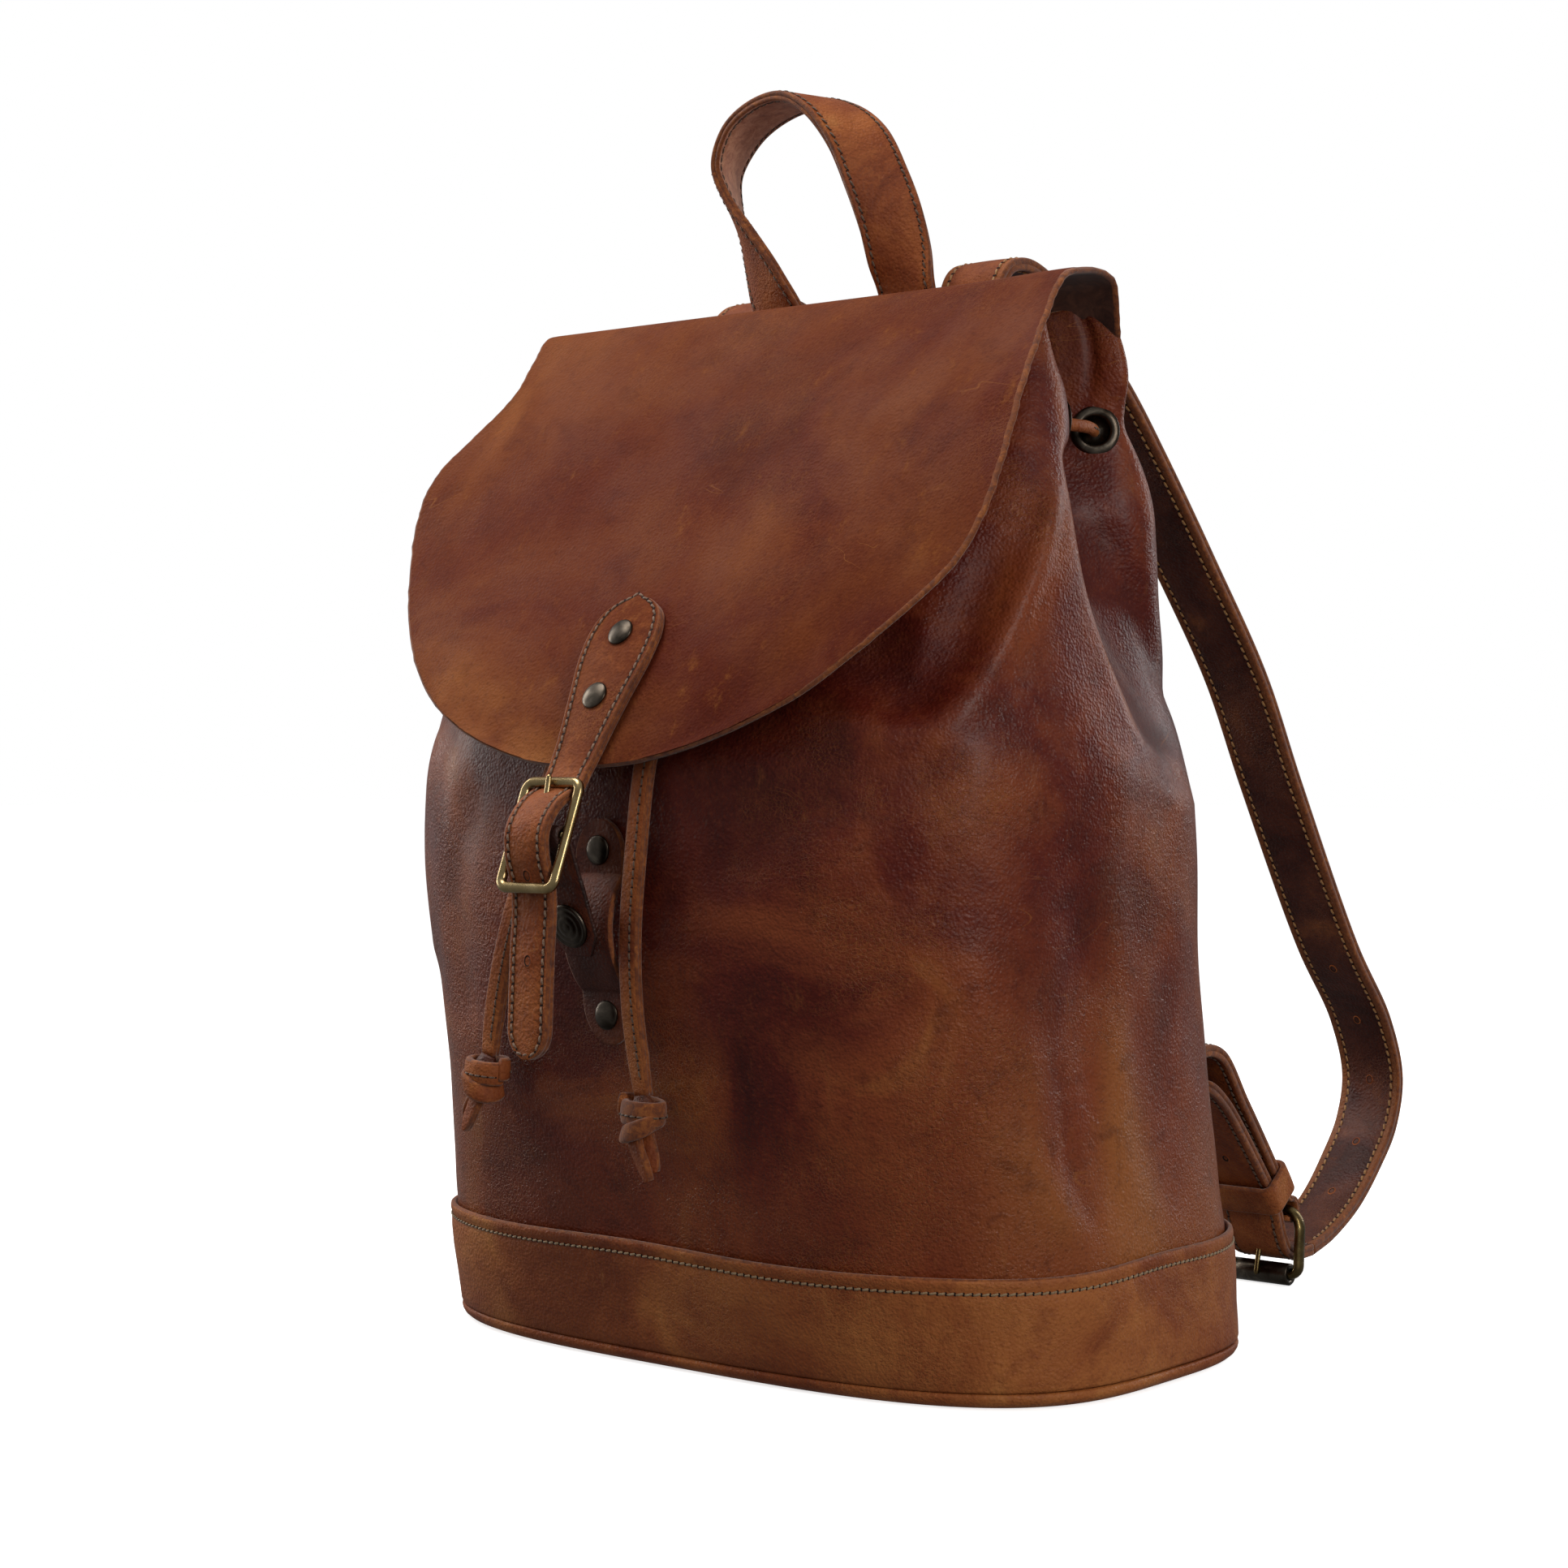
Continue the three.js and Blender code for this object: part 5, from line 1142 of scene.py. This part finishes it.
def build_knot(name):
    """An overhand knot in the flat cord: two wraps over a core, and a tail cut on the slant."""
    centre, drop = (np.array(v, float) for v in KNOTS[name])
    lean = unit(drop)
    across = unit(ACROSS - lean * lean[0])
    out = np.cross(lean, across)
    flip = 1 if name == "right" else -1
    parts = []

    def local(points):
        p = np.array(points, float)
        return centre + across * p[:, :1] * flip + out * p[:, 1:2] + lean * p[:, 2:]

    def leaf(kind, line, side, section, looks=CORD_LOOKS, **more):
        piece, _, outward = strap(f"knot_{name}_{kind}", line, side, section, looks, **more)
        parts.append(piece)
        return outward

    turn = np.radians(np.linspace(-200, 190, 90))
    shrink = np.linspace(1.03, 0.84, 90)
    wrap = local(np.stack([8.3 * np.cos(turn) * shrink, 5.4 * np.sin(turn) * shrink,
                           -4.0 + 1.3 * np.cos(turn) + np.linspace(-0.8, 1.6, 90)], axis=1))
    section = strap_section(8.6, 2.5, stitch=0, crown=0.5, layers=1)
    outward = leaf("wrap", wrap, -lean + 0.12 * flip * across, section, soft=True,
                   nodes=[f"drawstring_knot_{name}"])
    facing = outward * np.sign((outward * (wrap - centre)).sum(1, keepdims=True))
    rows = [(wrap[8:82] + facing[8:82] * 1.75 + lean * 0.9, facing[8:82])]
    parts.append(sew(f"knot_{name}_stitches", rows, dark_thread, "bag", 3.0, (2.2, 0.36)))

    cross = local(curve([(7.2, -2.0, -1.0), (5.0, 4.6, 1.6), (-0.5, 6.2, 3.4), (-5.2, 4.0, 4.0),
                         (-6.2, -1.5, 3.0), (-2.0, -4.6, 1.0)], 70))
    section = strap_section(6.6, 2.4, stitch=0, crown=0.45, layers=1)
    leaf("cross", cross, -lean + 0.45 * flip * across, section, soft=True)

    core = local(curve([(0, 0, -9), (0.4, 0, -4), (0.2, 0.2, 1), (0.4, 0.6, 5)], 30))
    u = np.linspace(0, 1, 30)
    scale = np.stack([0.5 + 0.5 * np.sin(math.pi * v) for v in (np.clip(u, 0.05, 0.95), u)], axis=1)
    leaf("core", core, across, oval(11.5, 7.5, 20), [lining_leather], scale=scale)

    for tail, route, roll, width in (
        ("front", [(-1.5, 2.6, 3), (-0.4, 3.4, 8), (1.8, 3.0, 14), (4.2, 2.2, 20.5)], 0.35, 7.0),
        ("rear", [(1.8, -0.4, 3), (2.8, 0.6, 8), (4.4, 1.0, 13), (6.0, 0.4, 17.5)], -0.5, 6.0),
    ):
        line = local(curve(route, 40))
        u = np.linspace(0, 1, 40)
        point = np.clip((u - 0.62) / 0.4, 0, 1) ** 1.5
        taper = np.sqrt(np.maximum(1 - point, 0.012)) * (0.72 + 0.28 * smooth(u, 0, 0.4))
        side = across + out * roll * np.sin(2.4 * u)[:, None]
        section = strap_section(width, 2.6, stitch=0, crown=0.3, layers=2)
        leaf(tail + "_tail", line, side, section, scale=np.stack([taper, np.ones(40)], axis=1))
    return parts


# ---- Handle and the back ---------------------------------------------------------------------

ROOT_TOP, ROOT_LENGTH = 45.5, 40.0
HANDLE_BEND = ("bag", "handle", (0, 0.0016, 0.3955), (0, 0.0016, 0.4105))


def build_handle():
    width, thickness = 25.0, 4.0
    off = GAP + thickness / 2
    low_right = on_back(30.2, ROOT_TOP + ROOT_LENGTH, ROOT_TOP, off, 10)
    low_left = on_back(-30.2, ROOT_TOP, ROOT_TOP + ROOT_LENGTH, off, 10)
    free = [(30.6, 10.6, 384.8), (31.6, 4.2, 396), (31.2, 0, 409), (28.8, -3, 425), (23.4, -5, 441),
            (15, -6, 457.8), (2, -6, 470.3), (-13, -5, 476.6), (-30, -4.6, 475), (-44.6, -4, 467.5),
            (-53, -3.4, 454), (-51, -2.6, 441), (-43, -1.6, 424), (-35.4, 0, 407), (-32, 3.6, 396),
            (-30.6, 10.2, 385)]
    line = curve(np.vstack([low_right, free, low_left]), 330)
    at = np.linspace(0, length_of(line), 330)
    reach = (at - ROOT_LENGTH) / (length_of(line) - 2 * ROOT_LENGTH)
    twist = track([(0, 0), (0.11, 3), (0.16, 26), (0.25, 42), (0.35, 52), (0.5, 80), (0.6, 95), (0.7, 115),
                   (0.8, 142), (0.87, 164), (0.91, 176), (1, 180)])
    angle = np.radians(twist(np.clip(reach, 0, 1)))
    side = np.stack([np.cos(angle), np.sin(angle), 0 * angle], axis=1)
    _, side, out = strap("handle_leather", line, side, strap_section(width, thickness),
                         [strap_leather, raw_edge, flesh],
                         ["handle", "handle_root_right", "handle_root_left"], how=HANDLE_BEND)
    rows = both_faces(line, side, out, width / 2 - 2.3, thickness / 2 - 0.08, slice(45, -45))
    sew("handle_stitches", rows, dark_thread, HANDLE_BEND, 3.5, slant=0.22)


def build_yoke():
    """The patch on the back that covers the ends of the handle and the straps."""
    s = np.linspace(-FLAP_BACK_LENGTH + 0.3, -54, 30)
    spread = np.linspace(-1, 1, 61)
    off, thickness = 5 + 4 * GAP, 2.4
    edge, cut = np.array([0.995, 1, 1, 0.995]), [2.2, 1.6, 0.8, 0.2]
    across = np.concatenate([spread * 0.985, edge, spread[::-1] * 0.985, -edge])
    height = np.concatenate([np.full(61, thickness), cut, np.zeros(61), cut[::-1]])
    a, d = np.meshgrid(across * 0.66, s)
    normal = flap_normal(a, np.clip(d, -FLAP_BACK_LENGTH + 0.5, 0))
    points = flap(a, d) + normal * (off + height)[None, :, None]
    paint = np.array([0] * 60 + [1] * 5 + [2] * 60 + [1] * 5)
    piece = rings_mesh("yoke_leather", points, [body_leather, raw_edge, flesh], paint)
    place(piece, "body_leather", "bag", ["back_yoke"])
    start, stop = -FLAP_BACK_LENGTH + 3.4, -57.2
    lines = [(np.linspace(-0.63, 0.63, 90), np.full(90, d)) for d in (start, stop)]
    lines += [(np.full(30, a), np.linspace(start, stop, 30)) for a in (-0.638, 0.638)]
    rows = [(flap(a, d) + flap_normal(a, d) * (off + thickness + 0.05), flap_normal(a, d)) for a, d in lines]
    sew("yoke_stitches", rows, seam_thread, "bag", slant=0.12)


# ---- Shoulder straps and their lower buckles --------------------------------------------------


LINED = [strap_leather, raw_edge, lining_leather]
STRAP_WIDTH, STRAP_THICKNESS = 27.0, 5.0
STRAP_STITCHES = (STRAP_WIDTH / 2 - 3.0, STRAP_THICKNESS / 2 - 0.05)
HOLE_OFF = 2.85
BUCKLE_X = 80


def build_shoulder(name, sign):
    """A shoulder strap from its root on the back to its last hole above the lower buckle."""
    mirror = vec(sign, 1, 1)
    off = GAP + STRAP_THICKNESS / 2
    root = on_back(57.2, ROOT_TOP + ROOT_LENGTH, ROOT_TOP, off, 10)
    free = [(57.2, 12.8, 386), (57.2, 10.6, 397), (57.2, 16, 405.2), (57.2, 27.5, 408), (57.3, 42.5, 404),
            (57.6, 60, 394), (58.5, 94, 368), (60.5, 118.5, 341), (63.5, 151.5, 300.5), (67.5, 185.5, 254.5),
            (70.5, 209.5, 209.5), (74.5, 251.5, 138.5), (76, 277.5, 104), (76.5, 286.5, 78), (77, 281.5, 58),
            (78, 266.5, 42), (79, 246.5, 27), (79.6, 224, 17), (80, 206.5, 12.7)]
    free = np.array(free)
    # The loop bulges back above the buckle, and the left one lies a little lower over its ridge.
    free[:, 1] += 3 * np.exp(-(((free[:, 2] - 82) / 30) ** 2)) * (free[:, 1] > 240)
    if sign < 0:
        free[:, 2] -= 4 * smooth(free[:, 2], 392, 404)
    line = curve(np.vstack([root, free]), 420) * mirror
    section, paint = strap_section(STRAP_WIDTH, STRAP_THICKNESS, stitch=3.0, crown=0.35, groove=0.4)
    u = np.linspace(0, 1, 420)
    scale = np.stack([1 + 0.055 * smooth(u, 0.05, 0.12) * (1 - smooth(u, 0.86, 0.96)), np.ones(420)], axis=1)
    rings, side, out = swept(line, ACROSS, section, scale)
    bend = ("bag", f"shoulder_strap_{name}", (0, 0.0150, 0.3680), (0, 0.0090, 0.3930))
    piece = rings_mesh(f"shoulder_strap_{name}_leather", rings, LINED, paint)
    store(piece, "border", border_of(rings, section))
    place(piece, "strap_leather", bend, [f"shoulder_strap_{name}", f"strap_root_{name}"])
    rows = both_faces(line, side, out, *STRAP_STITCHES, slice(30, -3))
    sew(f"shoulder_strap_{name}_stitches", rows, gold_thread, bend, 3.8, (2.8, 0.5), slant=0.2)
    total = length_of(line)
    for number, distance in enumerate((46, 78, 110, 142, 174)):
        near = int(round((total - distance) / total * 419))
        for face, label in ((1, "in"), (-1, "out")):
            punched(f"shoulder_hole_{name}_{number + 1}_{label}", line[near] + out[near] * face * HOLE_OFF,
                    out[near] * face, tangents(line)[near], f"shoulder_strap_{name}", 1.3)


def build_lower_buckle(name, sign):
    """A shoulder strap's lower end: the anchor strap, the tail, the buckle, its roller and the keeper."""
    mirror = vec(sign, 1, 1)
    section = strap_section(STRAP_WIDTH, STRAP_THICKNESS, stitch=3.0)
    hinge, roller = vec(80, 189, 32) * mirror, vec(80, 187, 4.8) * mirror
    turned = np.radians(np.linspace(100, -130, 12))
    hook = [hinge + vec(0, math.cos(a) * 4.5, math.sin(a) * 4.5) for a in turned]
    route = at_x(BUCKLE_X, [(94, 49.5), (96.5, 66), (104, 89), (118, 103), (133, 101), (151, 80), (165, 63),
                            (175, 50.5), (182, 41.5)])
    line = curve(np.vstack([route * mirror, hook]), 190)
    u = np.linspace(0, 1, 190)
    scale = np.stack([np.ones(190), 1 - 0.5 * smooth(u, 0.78, 0.86)], axis=1)
    looks = [flesh, raw_edge, strap_leather]
    _, side, out = strap(f"anchor_strap_{name}_leather", line, ACROSS, section, looks,
                         [f"anchor_strap_{name}"], scale=scale)
    rows = both_faces(line, side, out, *STRAP_STITCHES, slice(2, 142))
    sew(f"anchor_{name}_stitches", rows, dark_thread, "bag", 3.5, slant=0.2)

    route = at_x(BUCKLE_X, [(206.3, 12.6), (200, 12.4), (194, 12.4), (186.5, 15.4), (181.6, 22.5),
                            (178.2, 31.5), (172.4, 41.6), (162, 54), (149, 68.5), (137, 80.5), (125, 88.5),
                            (113.5, 91)])
    line = curve(route * mirror, 150)
    u = np.linspace(0, 1, 150)
    scale = np.stack([np.sqrt(1 - np.clip((u - 0.9) / 0.1, 0, 0.985) ** 2), np.ones(150)], axis=1)
    _, side, out = strap(f"strap_tail_{name}_leather", line, ACROSS, section, LINED,
                         [f"strap_tail_{name}"], scale=scale)
    rows = both_faces(line, side, out, *STRAP_STITCHES, slice(134))
    sew(f"tail_{name}_stitches", rows, dark_thread, "bag", 3.5, slant=0.2)
    for number, near in enumerate((82, 110)):
        punched(f"tail_hole_{name}_{number + 1}", line[near] - out[near] * HOLE_OFF, -out[near],
                tangents(line)[near], "bag", 1.3)

    down = unit(roller - hinge)
    outline = rounded(34, np.linalg.norm(roller - hinge), 8.5, 4.0)
    path = hinge + outline[:, :1] * ACROSS + outline[:, 1:] * down
    strap(f"shoulder_buckle_{name}_frame", path, vec(0, 1, 0), oval(5.8, 4.0, 20), [buckle_brass],
          [f"shoulder_buckle_{name}"], "dark_brass", closed=True)
    prong(f"shoulder_prong_{name}_wire", hinge, roller + vec(0, -5.6, -0.8), 1.9, buckle_brass,
          "dark_brass", f"shoulder_prong_{name}")
    half = 13.5
    profile = [(2.6, -half), (4.1, -half), (4.6, -half + 0.5), (4.6, -3), (4.6, 3), (4.6, half - 0.5),
               (4.1, half), (2.6, half), (2.6, 0), (2.6, -half)]
    tube = lathe(f"shoulder_roller_{name}_tube", profile, roller, ACROSS, antique, 36)
    place(tube, "dark_brass", f"shoulder_roller_{name}", [f"shoulder_roller_{name}"])

    slope, stack = vec(0, 0.6, -0.8), vec(0, 0.8, 0.6)
    outline = rounded(30.6, 17.4, 3.2, 3.2, 120)
    middle = vec(80, 176.2, 42.6) * mirror
    path = middle + stack * 8.5 + outline[:, :1] * ACROSS - outline[:, 1:] * stack
    section = strap_section(14, 2.2, stitch=0, crown=0.2, layers=1)
    strap(f"keeper_{name}_leather", path, slope, section, [strap_leather, raw_edge, strap_leather],
          [f"keeper_{name}"], closed=True)


# ---- Studio ----------------------------------------------------------------------------------


def area_light(name, place_at, target, size, power, color=(1, 1, 1)):
    light = bpy.data.lights.new(name, "AREA")
    light.shape = "RECTANGLE"
    light.size, light.size_y = size
    light.energy = power
    light.color = color
    lamp = bpy.data.objects.new(name, light)
    lamp.location = place_at
    lamp.rotation_euler = (Vector(target) - Vector(place_at)).to_track_quat("-Z", "Y").to_euler()
    bpy.context.collection.objects.link(lamp)


def build_studio():
    """A white floor and backdrop, with a soft light above, a strip on each side and little fill."""
    n = Nodes("floor_paint")
    shade = n.ramp(n.noise(1.5, 2), [(0.0, "#f2f2f2"), (1.0, "#f8f8f8")])
    n.finish(shade, n.spread(n.noise(3, 2), 0, 1, 0.85, 0.9), Emission_Color=(1, 1, 1, 1),
             Emission_Strength=0.74)
    far = 9e3
    corners = [(-far, -far, 0), (far, -far, 0), (far, far, 0), (-far, far, 0)]
    floor = link_mesh("floor", corners, [[0, 1, 2, 3]], [n.material])
    floor.visible_diffuse = floor.visible_glossy = False

    world = bpy.data.worlds.new("studio")
    world.use_nodes = True
    nodes, links = world.node_tree.nodes, world.node_tree.links
    soft = nodes["Background"]
    height = nodes.new("ShaderNodeSeparateXYZ")
    links.new(nodes.new("ShaderNodeTexCoord").outputs["Generated"], height.inputs[0])
    sky = nodes.new("ShaderNodeMapRange")
    for index, value in ((1, -1.0), (2, 1.0), (3, 0.12), (4, 0.36)):
        sky.inputs[index].default_value = value
    links.new(height.outputs["Z"], sky.inputs[0])
    links.new(sky.outputs[0], soft.inputs["Strength"])
    soft.inputs["Color"].default_value = (1, 1, 1, 1)
    white = nodes.new("ShaderNodeBackground")
    white.inputs["Color"].default_value = (1, 1, 1, 1)
    both = nodes.new("ShaderNodeMixShader")
    links.new(nodes.new("ShaderNodeLightPath").outputs["Is Camera Ray"], both.inputs[0])
    links.new(soft.outputs[0], both.inputs[1])
    links.new(white.outputs[0], both.inputs[2])
    links.new(both.outputs[0], nodes["World Output"].inputs["Surface"])
    bpy.context.scene.world = world
    middle = (0, 0, 0.22)
    area_light("top", (-0.5, -0.45, 1.7), (0, -0.05, 0.3), (0.8, 0.8), 17, (1.0, 0.96, 0.92))
    area_light("right_soft", (1.8, -0.6, 0.85), middle, (0.3, 1.0), 13, (1.0, 0.96, 0.92))
    area_light("rear_strip", (0.6, 1.8, 0.8), middle, (0.2, 1.0), 7)
    area_light("left_soft", (-1.6, -0.35, 0.7), middle, (0.3, 1.2), 9, (1.0, 0.95, 0.9))
    bpy.context.scene.view_settings.view_transform = "Standard"


build_body()
build_seams()
build_base()
build_trim()
build_flap()
build_closure()
build_front_buckle()
build_snap()
build_drawstring()
build_handle()
build_yoke()
for side_name, side_sign in (("right", 1), ("left", -1)):
    build_shoulder(side_name, side_sign)
    build_lower_buckle(side_name, side_sign)
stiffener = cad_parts["base_stiffener"]
stiffener.data.materials.clear()
stiffener.data.materials.append(board)
build_studio()
